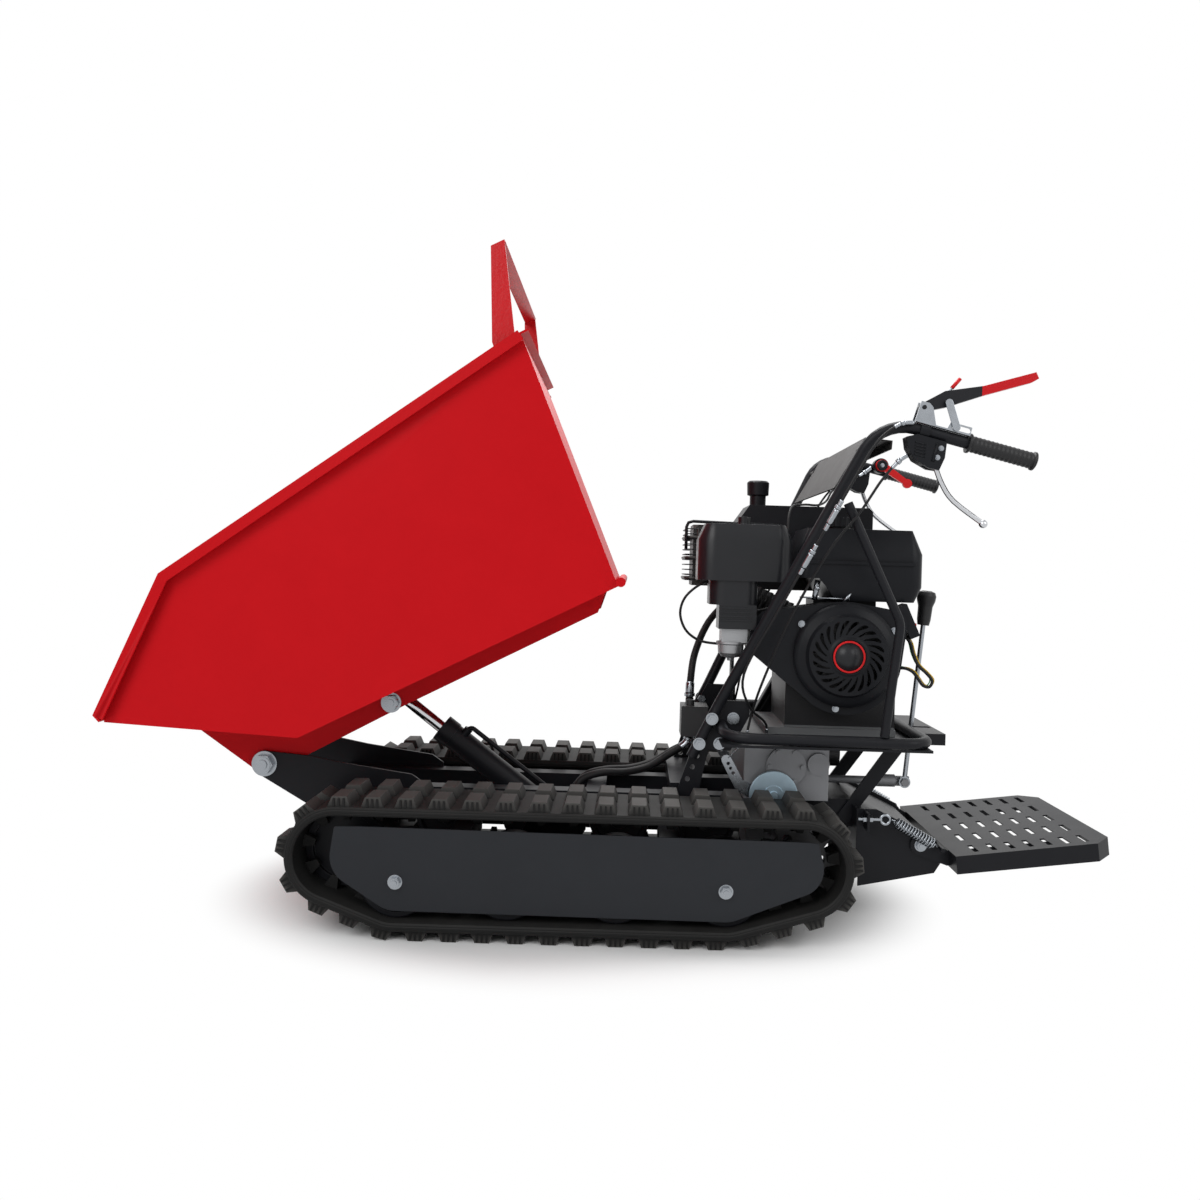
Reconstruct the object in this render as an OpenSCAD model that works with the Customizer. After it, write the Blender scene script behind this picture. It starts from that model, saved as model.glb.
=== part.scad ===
// Tracked power carrier: rubber tracks, a tipping skip in front and a petrol engine behind it.
// X runs from the skip (-) to the operator (+), Z is up from the ground and the near side is -Y.
// Pieces that come in pairs are drawn on the far side and mirrored to the near one.

/* [Tracks] */
// Width of a rubber track
track_w = 180; // [166:1:190]
// Distance between the middles of the two tracks
track_gauge = 500; // [490:1:540]
// Thickness of the rubber belt
belt_t = 16; // [12:1:20]
// Height of the tread lugs
lug_h = 18; // [12:1:22]
// Aimed distance from lug to lug
lug_pitch = 60; // [52:1:72]
// Length of a tread lug at its top
lug_top = 20; // [14:1:26]
// Length of a tread lug at its base
lug_base = 44; // [36:1:48]
// Height of the guide lugs inside the belt
guide_h = 22; // [14:1:26]
// Radius of the belt's inside round the idler and the sprocket
end_wheel_r = 75; // [68:1:78]
// Radius of the road wheels
road_wheel_r = 70; // [62:1:72]
// Height of the idler and sprocket axles
end_axle_z = 150; // [146:1:156]
// Place of the idler axle
idler_x = -515; // [-535:1:-505]
// Place of the sprocket axle
sprocket_x = 338; // [334:1:345]
// Place of the first road wheel
first_wheel_x = -406; // [-412:1:-400]
// Place of the last road wheel
last_wheel_x = 198; // [190:1:204]

/* [Chassis] */
// Width of a chassis rail
rail_w = 40; // [30:1:44]
// Height of a chassis rail
rail_h = 56; // [46:1:58]
// Free width between the rails
rail_gap = 132; // [124:1:136]
// Height of the rails' underside
rail_z = 176; // [176:1:182]
// Front end of the rails
rail_front_x = -610; // [-622:1:-590]
// Rear end of the rails
rail_rear_x = 470; // [462:1:478]
// Thickness of bracket plates
plate_t = 6; // [4:1:7]

/* [Skip] */
// Hinge place along the machine
hinge_x = -724; // [-730:1:-715]
// Hinge height
hinge_z = 270; // [265:1:280]
// Angle that the skip is raised by as drawn
skip_tilt = 27; // [20:1:32]
// Outer width over the side panels
skip_w = 610; // [580:1:640]
// Sheet thickness
sheet_t = 3; // [2:0.5:4]
// Length of the flat floor
floor_len = 650; // [630:1:660]
// Height of the rear wall
rear_wall_h = 498; // [450:1:520]
// Length of the sloping front of the floor
ramp_len = 356; // [330:1:370]
// Slope of the front of the floor
ramp_angle = 30; // [25:1:34]
// Width of the turned-out rim
rim_w = 20; // [14:1:24]
// Height of the headboard hoop over the rear wall
hoop_h = 168; // [140:1:180]

/* [Tipping cylinder] */
// Distance of the rod pin from the hinge, along the skip's floor
rod_pin_u = 283; // [278:1:290]
// Slope of the cylinder as drawn
cylinder_slope = 36.7; // [34:0.1:39]
// Distance from the rod pin to the base pin
cylinder_len = 440; // [430:1:448]
// Radius of the barrel
barrel_r = 27; // [25:0.5:28]
// Radius of the piston rod
rod_r = 12.5; // [10:0.5:14]
// Distance from the rod pin to the gland
rod_shown = 107; // [100:1:115]

/* [Engine] */
// Crankshaft place along the machine
crank_x = 436; // [432:1:440]
// Height of the crankshaft over the platform
crank_h = 169; // [160:1:176]
// Height of the engine platform
platform_z = 360; // [354:1:368]
// Outer radius of the recoil cover
recoil_r = 103; // [96:1:106]
// Outer radius of the blower housing round the crankshaft
blower_r = 112; // [108:1:116]
// Length of the oil tank
oil_tank_len = 293; // [270:1:297]
// Height of the oil tank
oil_tank_h = 185; // [160:1:195]

/* [Handlebars] */
// Radius of the handlebar tube
bar_r = 11; // [9:0.5:12]
// Half the distance between the grips
grip_y = 304; // [296:1:312]
// Length of a rubber grip
grip_len = 130; // [110:1:140]
// Radius of a rubber grip
grip_r = 15.5; // [14:0.5:17]
// Radius of the brace tubes
brace_r = 9; // [7:0.5:10]
// Radius of the tube round the platform
guard_r = 11; // [9:0.5:12]

/* [Footplate] */
// Length of the step surface
step_len = 311.5; // [290:0.5:330]
// Half width of the step surface
step_half = 208; // [195:1:220]
// Depth of the folded edge
step_edge = 35; // [25:1:38]
// Upward slope of the step as drawn
step_slope = 7; // [5:0.5:9]
// Coils of a return spring
spring_coils = 15; // [10:1:18]
// Wire radius of a return spring
spring_wire_r = 1.6; // [1.2:0.1:1.8]

/* [Hidden] */
$fn = 48;

// Clearance of turning shafts
run_gap = 0.08;
// Clearance between pieces that pass each other
free_gap = 0.3;

// Track places
track_y = track_gauge / 2;
road_axle_z = lug_h + belt_t + road_wheel_r;
wheel_count = 4;
wheel_step = (last_wheel_x - first_wheel_x) / (wheel_count - 1);
track_in = track_y - track_w / 2;
tread_in = 14;
tread_out = track_w / 2 - 6;
guide_in = 15;
guide_out = 29;
guide_base = 26;
guide_tip = 16;
axle_r = 10;
end_axle_r = 12;
half_shaft_r = 16;
beam_half = 20;
beam_low = road_axle_z - 19;
beam_high = road_axle_z + 61;
fork_in = 13;
wheel_in = 34;
wheel_out = 60;
cover_t = 3;
cover_in = 69;
tooth_count = 9;

// Chassis places
rail_in = rail_gap / 2;
rail_out = rail_in + rail_w;
rail_top = rail_z + rail_h;
bracket_out = rail_out + plate_t;
carrier_w = 40;
carrier_h = 36;
upright_in = rail_out + 34;
upright_out = upright_in + plate_t;
beam_x = 98;
beam_w = 60;
beam_top = rail_top + 30;
hinge_bolt_r = 12;
rear_plate_in = 150;
rear_plate_t = 5;
rear_plate_out = rear_plate_in + rear_plate_t;

// Skip places in its own frame, from the hinge along the floor and square to it
floor_u = 153;
floor_v = 24;
rear_lean = 37;
floor_end = [floor_u + floor_len, floor_v];
rear_top = floor_end + [rear_lean, rear_wall_h];
floor_front = [floor_u, floor_v];
ramp_end = floor_front + ramp_len * [-cos(ramp_angle), sin(ramp_angle)];
lip_top = ramp_end + [-5, 16];
ramp_way = [cos(ramp_angle), -sin(ramp_angle)];
rim_bend = [58, rear_top.y - 121];
side_y = skip_w / 2;
ear_r = 24;
ear_in = 99;
ear_out = rail_out - 2;
rod_pin_r = 10;
rod_pin_v = 2;
rod_pin = [rod_pin_u, rod_pin_v];

// Cylinder places, along its own axis from the rod pin
eye_r = 15;
eye_half = 20;
piston_x = 284;
piston_w = 20;
gland_len = 33;
bore_r = barrel_r - 6;
base_r = 22;
base_pin_r = 12;
clevis_in = 31;
pin_place = place_on_skip(rod_pin);
base_place = pin_place + cylinder_len * [cos(cylinder_slope), -sin(cylinder_slope)];

// Engine places
crank = [crank_x, platform_z + crank_h];
block_near = -95;
block_far = 110;
blower_near = -165;
recoil_near = -200;
pulley_in = 136;
pulley_out = 154;
engine_pulley_r = 34;
gearbox_pulley_r = 58;
gearbox_near = -130;
gearbox_far = 130;
gearbox_front = 247;
gearbox_rear = 417;
gearbox_top = rail_top + 103;
input_shaft = [330, rail_top + 68];
platform_t = 5;
platform_front = 190;
platform_rear = 590;
platform_half = 252;
tank_low = crank.y + 107;
oil_low = crank.y + 121;
oil_x = 242;
oil_near = 60;
oil_far = 200;

// Handlebar places, far side
bar_y = upright_out + bar_r + free_gap;
bar_route = [[138, bar_y, 318], [188, bar_y, 421], [460, grip_y, 977], [741, grip_y, 908.2]];
bar_slope = atan2(bar_route[2].z - bar_route[3].z, bar_route[3].x - bar_route[2].x);
lever_place = [530, grip_y, 960];
tube_bolts = [[152, 346], [176, 396]];
upright_bolts = [[194, 344], [220, 395]];
bolt_r = 5;
guard_y = 250;
guard_z = platform_z + guard_r;
guard_x = platform_rear - 2;

// Footplate places, its own frame is at the pivot along the step
step_pivot = [597, 157];
step_u = 54;
step_v = -14;
step_chamfer = 35;
arm_in = rear_plate_out + 1;
arm_t = 5;
arm_out = arm_in + arm_t;
spring_y = arm_out + 17;
spring_r = 10;
spring_hook = [36, -6];
eyebolt_z = 210;

// Gear lever places
lever_pivot = [596, rail_top + 23];
lever_y = -30;
lever_lean = 5.2;
lever_len = 345;
gate_z = platform_z + 9;
gate_front = guard_x + guard_r + 1;
gate_rear = gate_front + 53;
gate_near = -120;
gate_far = 140;
gate_drop = 20;
gate_rim = 0.9;

function turn(p, a) = [p.x * cos(a) - p.y * sin(a), p.x * sin(a) + p.y * cos(a)];
function place_on_skip(p) = [hinge_x, hinge_z] + turn(p, skip_tilt);
function place_on_step(p) = step_pivot + turn(p, step_slope);
function unit(v) = v / norm(v);
function last(v) = v[len(v) - 1];
function total(v, i = 0) = i < len(v) ? v[i] + total(v, i + 1) : 0;

// Belt loop: arcs round four wheels joined by straight runs, at any offset from the inside
wheel_circles = [
  [idler_x, end_axle_z, end_wheel_r],
  [first_wheel_x, road_axle_z, road_wheel_r],
  [last_wheel_x, road_axle_z, road_wheel_r],
  [sprocket_x, end_axle_z, end_wheel_r]
];
function wheel(i) = wheel_circles[(i + 4) % 4];
function wheel_at(i) = [wheel(i).x, wheel(i).y];
function spread(i) = wheel(i).z - wheel(i + 1).z;
function leg(i) = wheel_at(i + 1) - wheel_at(i);
function run_angle(i) = atan2(leg(i).y, leg(i).x) - acos(spread(i) / norm(leg(i)));
function arc_sweep(i) = (run_angle(i) - run_angle(i - 1) + 720) % 360;
function run_len(i) = sqrt(norm(leg(i)) ^ 2 - spread(i) ^ 2);
function arc_len(i) = (wheel(i).z + belt_t / 2) * arc_sweep(i) * PI / 180;
function on_circle(i, a, o) = wheel_at(i) + (wheel(i).z + o) * [cos(a), sin(a)];
stretches = [for (i = [0:3]) each [arc_len(i), run_len(i)]];
loop_len = total(stretches);
lug_count = round(loop_len / lug_pitch);
lug_step = loop_len / lug_count;
function on_stretch(k, f, o) = k % 2 == 0
  ? on_circle(k / 2, run_angle(k / 2 - 1) + arc_sweep(k / 2) * f, o)
  : let (i = (k - 1) / 2, a = run_angle(i)) (1 - f) * on_circle(i, a, o) + f * on_circle(i + 1, a, o);
function along_loop(s, o, k = 0) = s <= stretches[k] || k == 7
  ? on_stretch(k, s / stretches[k], o)
  : along_loop(s - stretches[k], o, k + 1);
function on_loop(s, o) = along_loop((s + loop_len) % loop_len, o);
arc_step = 8;
function loop_points(o) = [
  for (i = [0:3])
    let (n = ceil(arc_sweep(i) / arc_step))
      for (k = [0:n]) on_circle(i, run_angle(i - 1) + arc_sweep(i) * k / n, o)
];
function lug_points(profile) = [
  for (j = [0:lug_count - 1])
    for (p = profile) on_loop(j * lug_step + p.x, p.y)
];
tread_profile = [
  [-lug_base / 2, belt_t - 1], [-lug_top / 2, belt_t + lug_h],
  [lug_top / 2, belt_t + lug_h], [lug_base / 2, belt_t - 1]
];
guide_profile = [
  [-guide_base / 2, 2.5], [-guide_tip / 2, -guide_h], [guide_tip / 2, -guide_h], [guide_base / 2, 2.5]
];

// Sheet bent along a path, its thickness laid to the left of the path
function left_of(d) = [-d.y, d.x];
function mitre(a, b, c) =
  let (n1 = left_of(unit(b - a)), n2 = left_of(unit(c - b))) (n1 + n2) / (1 + n1 * n2);
function edge_shift(p, i) =
  i == 0 ? left_of(unit(p[1] - p[0]))
  : i == len(p) - 1 ? left_of(unit(p[i] - p[i - 1]))
  : mitre(p[i - 1], p[i], p[i + 1]);
function bent_sheet(p, t) = concat(p, [for (i = [len(p) - 1:-1:0]) p[i] + t * edge_shift(p, i)]);

// Tube along a route: corners rounded to a radius, or a smooth curve through the points
function rounded(p, r, n) = [
  for (i = [0:len(p) - 1])
    each i == 0 || i == len(p) - 1 ? [p[i]] : corner_arc(p[i - 1], p[i], p[i + 1], r, n)
];
function corner_arc(a, b, c, r, n) =
  let (
    u = unit(a - b), v = unit(c - b), half = acos(u * v) / 2, back = r / tan(half),
    centre = b + unit(u + v) * r / sin(half), p = b + u * back - centre, q = b + v * back - centre,
    sweep = 180 - 2 * half
  )
  [for (k = [0:n]) centre + (sin(sweep * (1 - k / n)) * p + sin(sweep * k / n) * q) / sin(sweep)];
function curve_point(a, b, c, d, t) =
  0.5 * (2 * b + (c - a) * t + (2 * a - 5 * b + 4 * c - d) * t ^ 2 + (3 * b - a - 3 * c + d) * t ^ 3);
function smooth(p, n) = concat(
  [
    for (i = [0:len(p) - 2])
      for (k = [0:n - 1])
        curve_point(p[max(i - 1, 0)], p[i], p[i + 1], p[min(i + 2, len(p) - 1)], k / n)
  ],
  [last(p)]
);
function tangent(p, i) = unit(p[min(i + 1, len(p) - 1)] - p[max(i - 1, 0)]);
function square_to(n, t) = unit(n - (n * t) * t);
function first_normal(t) = square_to(abs(t.z) < 0.8 ? [0, 0, 1] : [1, 0, 0], t);
function ring_normals(p) = [
  for (i = 0, n = first_normal(tangent(p, 0)); i < len(p);
    i = i + 1, n = i < len(p) ? square_to(n, tangent(p, i)) : n) n
];
module tube_along(p, r, sides) {
  normals = ring_normals(p);
  points = [
    for (i = [0:len(p) - 1])
      let (n = normals[i], b = cross(tangent(p, i), n))
        for (k = [0:sides - 1]) p[i] + r * (cos(360 * k / sides) * n + sin(360 * k / sides) * b)
  ];
  rings = len(p);
  walls = [
    for (i = [0:rings - 2])
      for (k = [0:sides - 1])
        let (a = i * sides + k, b = i * sides + (k + 1) % sides)
          each [[a, a + sides, b], [b, a + sides, b + sides]]
  ];
  start_cap = [for (k = [0:sides - 1]) k];
  end_cap = [for (k = [sides - 1:-1:0]) (rings - 1) * sides + k];
  polyhedron(points = points, faces = concat(walls, [start_cap, end_cap]), convexity = 6);
}

// Solid between two corners
module block(low, high) { translate(low) cube(high - low); }

// Outline in X and Z drawn out along Y
module along_y(y0, y1) { translate([0, y1, 0]) rotate([90, 0, 0]) linear_extrude(y1 - y0) children(); }
module y_rod(p, r, y0, y1) { translate([p.x, y0, p.y]) rotate([-90, 0, 0]) cylinder(r = r, h = y1 - y0); }
module hex_head(p, r, y0, y1) { translate([p.x, y0, p.y]) rotate([-90, 0, 0]) cylinder(r = r, h = y1 - y0, $fn = 6); }
module at(p, r) { translate(p) circle(r); }

module on_side(near) {
  if (near) mirror([0, 1, 0]) children();
  else children();
}
module both_sides() {
  children();
  mirror([0, 1, 0]) children();
}
module on_skip() { translate([hinge_x, 0, hinge_z]) rotate([0, -skip_tilt, 0]) children(); }
module on_cylinder() { translate([pin_place.x, 0, pin_place.y]) rotate([0, cylinder_slope, 0]) children(); }
module on_step() { translate([step_pivot.x, 0, step_pivot.y]) rotate([0, -step_slope, 0]) children(); }
module on_track(x, z) { translate([x, track_y, z]) rotate([-90, 0, 0]) children(); }
module on_bar() { translate(lever_place) rotate([0, bar_slope, 0]) children(); }

module chassis_frame() {
  color([0.13, 0.13, 0.14]) {
    both_sides() {
      block([rail_front_x, rail_in, rail_z], [rail_rear_x, rail_out, rail_top]);
      for (x = [carrier_front_x, carrier_rear_x])
        block([x, rail_in, rail_z - carrier_h], [x + carrier_w, track_y - beam_half, rail_z]);
    }
    for (x = [rail_front_x, clevis_x, rail_rear_x - carrier_w])
      block([x, -rail_in, rail_z], [x + carrier_w, rail_in, rail_top]);
    block([beam_x, -upright_in, rail_top], [beam_x + beam_w, upright_in, beam_top]);
    both_sides() {
      along_y(rail_out, bracket_out) bracket_outline();
      along_y(clevis_in, clevis_in + plate_t) clevis_outline();
    }
  }
}
carrier_front_x = first_wheel_x + wheel_step / 2 - carrier_w / 2;
carrier_rear_x = last_wheel_x - wheel_step / 2 - carrier_w / 2;
clevis_x = -72;

module bracket_outline() {
  difference() {
    union() {
      at([hinge_x, hinge_z], 26);
      polygon([
        [hinge_x - 20, hinge_z - 17], [rail_front_x - 27, rail_z + 16], [rail_front_x + 10, rail_z + 2],
        [-400, rail_z + 2], [-400, rail_top + 8], [-425, rail_top + 25], [-478, rail_top + 32],
        [-572, rail_top + 45], [-631, hinge_z + 18], [hinge_x + 8, hinge_z + 24.7]
      ]);
    }
    at([hinge_x, hinge_z], hinge_bolt_r + run_gap);
  }
}
module clevis_outline() {
  polygon([
    [clevis_x, rail_z + 10], [clevis_x, rail_z - 40], [base_place.x + 10, base_place.y - 62],
    [base_place.x - 70, base_place.y - 52], [base_place.x - 85, base_place.y - 5],
    [base_place.x - 60, base_place.y + 40], [clevis_x - 20, rail_z + 30]
  ]);
}
module frame_bolts() {
  color([0.75, 0.76, 0.78])
    both_sides() {
      y_rod([hinge_x, hinge_z], hinge_bolt_r, ear_in - 9, bracket_out + 1);
      hex_head([hinge_x, hinge_z], 19, bracket_out, bracket_out + 11);
      hex_head([hinge_x, hinge_z], 19, ear_in - 12, ear_in - free_gap);
      for (x = [first_wheel_x, last_wheel_x])
        hex_head([x, road_axle_z], 10, track_y + cover_in + cover_t, track_y + cover_in + cover_t + 7);
      for (p = tube_bolts) {
        y_rod(p, bolt_r, upright_in - 8, bar_y + bar_r + 2);
        hex_head(p, 9, bar_y + bar_r, bar_y + bar_r + 7);
        hex_head(p, 9, upright_in - 8, upright_in);
      }
      for (p = upright_bolts) {
        y_rod(p, bolt_r, upright_in - plate_t - 8, upright_out + 2);
        hex_head(p, 9, upright_out, upright_out + 7);
        hex_head(p, 9, upright_in - plate_t - 8, upright_in - plate_t);
      }
      y_rod(step_pivot, bolt_r, rear_plate_in - 8, arm_out + 1);
      hex_head(step_pivot, 9, arm_out + free_gap, arm_out + free_gap + 5);
      hex_head(step_pivot, 9, rear_plate_in - 8, rear_plate_in);
      eyebolt();
    }
}
eyebolt_r = 3.5;
eyebolt_x = [468, 514];
tab_x = [484, 489];
module eyebolt() {
  translate([eyebolt_x[0], spring_y, eyebolt_z]) rotate([0, 90, 0])
    cylinder(r = eyebolt_r, h = eyebolt_x[1] - eyebolt_x[0]);
  for (x = [tab_x[0] - 7, tab_x[1]])
    translate([x, spring_y, eyebolt_z]) rotate([0, 90, 0]) cylinder(r = 7.5, h = 7, $fn = 6);
  translate([eyebolt_x[1] + 7, spring_y, eyebolt_z]) rotate([90, 0, 0])
    rotate_extrude() translate([9, 0]) circle(3);
}

module track() {
  along_y(track_in, track_in + track_w) difference() {
    polygon(loop_points(belt_t));
    polygon(loop_points(0));
  }
  for (y = [track_y - tread_out, track_y + tread_in])
    along_y(y, y + tread_out - tread_in) difference() {
      polygon(lug_points(tread_profile));
      polygon(loop_points(belt_t / 2));
    }
  for (y = [track_y - guide_out, track_y + guide_in])
    along_y(y, y + guide_out - guide_in) difference() {
      polygon(loop_points(belt_t / 2));
      polygon(lug_points(guide_profile));
    }
}
module rubber_tracks() { color([0.12, 0.115, 0.11]) both_sides() track(); }

module beam_outline() {
  difference() {
    polygon([
      [first_wheel_x - 30, beam_low + 14], [first_wheel_x - 16, beam_low], [last_wheel_x + 50, beam_low],
      [last_wheel_x + 64, beam_low + 14], [last_wheel_x + 64, beam_high], [first_wheel_x - 30, beam_high]
    ]);
    for (i = [0:wheel_count - 1]) at([first_wheel_x + i * wheel_step, road_axle_z], axle_r + run_gap);
  }
}
module fork_outline() {
  difference() {
    union() {
      at([idler_x, end_axle_z], 20);
      translate([idler_x, end_axle_z - 16]) square([first_wheel_x - 20 - idler_x, 32]);
    }
    at([idler_x, end_axle_z], end_axle_r + run_gap);
  }
}
module track_frame() {
  along_y(track_y - beam_half, track_y + beam_half) beam_outline();
  for (y = [track_y - beam_half, track_y + fork_in])
    along_y(y, y + beam_half - fork_in) fork_outline();
  for (i = [0:wheel_count - 1])
    y_rod([first_wheel_x + i * wheel_step, road_axle_z], axle_r, track_y - wheel_out - 4, track_y + cover_in);
  y_rod([idler_x, end_axle_z], end_axle_r, track_y - beam_half - 6, track_y + beam_half + 6);
}
module track_frames() { color([0.12, 0.12, 0.13]) both_sides() track_frame(); }

module cover_outline() {
  difference() {
    hull() {
      at([idler_x - 2, end_axle_z + 48], 4);
      at([sprocket_x + 24, end_axle_z + 43], 4);
      at([idler_x + 43, end_axle_z - 2], 55);
      at([sprocket_x - 12, end_axle_z - 2], 50);
      at([first_wheel_x, road_axle_z], road_wheel_r - 17);
      at([last_wheel_x, road_axle_z], road_wheel_r - 14);
    }
    for (x = [first_wheel_x, last_wheel_x]) at([x, road_axle_z], bolt_r);
  }
}
module track_covers() {
  color([0.2, 0.21, 0.23])
    both_sides() along_y(track_y + cover_in, track_y + cover_in + cover_t) cover_outline();
}

module sprocket_outline() {
  difference() {
    polygon([
      for (k = [0:tooth_count - 1])
        let (a = 360 * k / tooth_count)
          for (p = [[-15, 54], [-7, end_wheel_r - 0.6], [7, end_wheel_r - 0.6], [15, 54]])
            p.y * [cos(a + p.x), sin(a + p.x)]
    ]);
    for (k = [0:2]) at(43 * [cos(120 * k), sin(120 * k)], 8);
  }
}
module sprocket(near) {
  color([0.32, 0.32, 0.33])
    on_side(near) on_track(sprocket_x, end_axle_z) {
      translate([0, 0, -9]) linear_extrude(18) sprocket_outline();
      translate([0, 0, -18]) cylinder(r = 28, h = 36);
      translate([0, 0, 64 - track_y]) cylinder(r = half_shaft_r, h = track_y - 64 + 24);
    }
}

module idler(near) {
  r = end_wheel_r - free_gap;
  color([0.16, 0.16, 0.17])
    on_side(near) on_track(idler_x, end_axle_z)
      rotate_extrude()
        polygon([
          [end_axle_r + run_gap, -12.7], [24, -12.7], [24, -5], [r - 14, -5], [r - 14, -12.7], [r, -12.7],
          [r, 12.7], [r - 14, 12.7], [r - 14, 5], [24, 5], [24, 12.7], [end_axle_r + run_gap, 12.7]
        ]);
}

module road_wheel_half() {
  r = road_wheel_r - free_gap;
  mid = (wheel_in + wheel_out) / 2;
  inner = beam_half + free_gap;
  rotate_extrude()
    polygon([
      [axle_r + run_gap, inner], [22, inner], [24, mid - 4], [r - 13, mid - 4], [r - 11, wheel_in],
      [r - 2, wheel_in], [r, wheel_in + 2], [r, wheel_out - 2], [r - 2, wheel_out], [r - 11, wheel_out],
      [r - 13, mid + 4], [24, mid + 4], [22, wheel_out], [axle_r + run_gap, wheel_out]
    ]);
}
module road_wheel(near, i) {
  color([0.15, 0.15, 0.16])
    on_side(near) on_track(first_wheel_x + (i - 1) * wheel_step, road_axle_z) {
      road_wheel_half();
      mirror([0, 0, 1]) road_wheel_half();
    }
}

module skip() {
  wrap = [ramp_end, floor_front, floor_end, rear_top];
  color([0.72, 0.05, 0.05])
    on_skip() {
      along_y(-side_y, side_y) polygon(bent_sheet(wrap, -sheet_t));
      both_sides() {
        along_y(side_y - sheet_t, side_y)
          polygon([lip_top, ramp_end, floor_front, floor_end, rear_top, rim_bend]);
        along_y(side_y - sheet_t, side_y + rim_w)
          polygon(bent_sheet([ramp_end, lip_top, rim_bend, rear_top], -rim_t));
        along_y(side_y + rim_w - rim_t, side_y + rim_w) polygon(bent_sheet([lip_top, rim_bend, rear_top], -rim_h));
      }
      along_y(-side_y, side_y) polygon([ramp_end, lip_top, lip_top + [lip_t, 0], ramp_end + lip_foot * ramp_way]);
      y_rod(floor_end + [rear_bar_r + sheet_t - 1, 2], rear_bar_r, -side_y - 10, side_y + 10);
      along_y(-side_y, side_y)
        polygon(bent_sheet([rear_top + [sheet_t - 1, -4], rear_top + [18, -4]], 4));
    }
}
rim_t = 4;
rim_h = 20;
lip_t = 6;
lip_foot = 8;
rear_bar_r = 9;

module hoop_outline() {
  base = rear_top + [0, -26];
  top = rear_top + [50, hoop_h];
  polygon([
    base + [-56, -8], base + [-6, 0], rear_top + [-7, 4], top, top + [-28, 0], rear_top + [-52, 6]
  ]);
}
module skip_hoop() {
  top = rear_top + [50, hoop_h];
  color([0.75, 0.06, 0.06])
    on_skip() {
      both_sides() along_y(side_y - sheet_t - hoop_t, side_y - sheet_t) hoop_outline();
      block([top.x - 28, -side_y + sheet_t + hoop_t, top.y - hoop_t], [top.x, side_y - sheet_t - hoop_t, top.y]);
    }
}
hoop_t = 6;

module subframe_outline() {
  difference() {
    union() {
      at([0, 0], ear_r);
      polygon([
        [-22, -10], ramp_end + 34 * ramp_way - sheet_t * left_of(ramp_way),
        floor_front + sheet_t * [-tan(ramp_angle / 2), -1], floor_end + [-28, -sheet_t],
        floor_end + [-61, -36], [rod_pin.x + 20, -15], [0, -ear_r]
      ]);
    }
    at([0, 0], hinge_bolt_r + run_gap);
    at(rod_pin, rod_pin_r + run_gap);
  }
}
module skip_subframe() {
  color([0.55, 0.05, 0.05])
    on_skip() {
      both_sides() along_y(ear_in, ear_out) subframe_outline();
      block(
        [floor_end.x - 100, -ear_in, floor_v - sheet_t - 28], [floor_end.x - 64, ear_in, floor_v - sheet_t]
      );
      y_rod([-30, 70], 16, -ear_in, ear_in);
      y_rod(rod_pin, rod_pin_r, -ear_out - 2, ear_out + 2);
      both_sides() hex_head(rod_pin, 15, ear_out, ear_out + 8);
    }
}

module piston_rod() {
  color([0.82, 0.83, 0.85])
    on_cylinder() {
      difference() {
        union() {
          y_rod([0, 0], eye_r, -eye_half, eye_half);
          rotate([0, 90, 0]) cylinder(r = rod_r, h = piston_x + 1);
        }
        y_rod([0, 0], rod_pin_r + run_gap, -eye_half - 1, eye_half + 1);
      }
      translate([piston_x, 0, 0]) rotate([0, 90, 0]) cylinder(r = bore_r - run_gap, h = piston_w);
    }
}

pipe_z = barrel_r + 15;
pipe_r = 5;
pipe_y = 11;
pipe_from = rod_shown + gland_len + 15;
pipe_to = cylinder_len - 50;
port_at = cylinder_len - 30;
port_top = pipe_z - 6;
module cylinder_barrel() {
  bore_end = cylinder_len - 45;
  gland_end = rod_shown + gland_len;
  color([0.12, 0.12, 0.13])
    on_cylinder() {
      difference() {
        union() {
          translate([rod_shown, 0, 0]) rotate([0, 90, 0]) cylinder(r = barrel_r + 2, h = gland_len - 3);
          translate([rod_shown + 5, 0, 0]) rotate([0, 90, 0])
            cylinder(r = barrel_r, h = cylinder_len - rod_shown - 15);
          y_rod([cylinder_len, 0], base_r, -clevis_in + 5, clevis_in - 5);
          translate([pipe_from, -pipe_y, 0]) cylinder(r = 9, h = port_top);
          translate([port_at, pipe_y, 0]) cylinder(r = 9, h = port_top);
        }
        translate([rod_shown - 1, 0, 0]) rotate([0, 90, 0]) cylinder(r = rod_r + run_gap, h = gland_len + 2);
        translate([gland_end, 0, 0]) rotate([0, 90, 0]) cylinder(r = bore_r, h = bore_end - gland_end);
      }
      y_rod([cylinder_len, 0], base_pin_r, -clevis_in + free_gap, clevis_in - free_gap);
      tube_along(
        rounded([[pipe_from, -pipe_y, port_top - 4], [pipe_from, -pipe_y, pipe_z], [pipe_to, -pipe_y, pipe_z]], 9, 4),
        pipe_r, 12
      );
      translate([pipe_to - 22, -pipe_y, pipe_z]) rotate([0, 90, 0]) cylinder(r = 9, h = 22);
    }
}
function place_on_cylinder(p) = [
  pin_place.x + p.x * cos(cylinder_slope) + p.z * sin(cylinder_slope), p.y,
  pin_place.y - p.x * sin(cylinder_slope) + p.z * cos(cylinder_slope)
];

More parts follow.
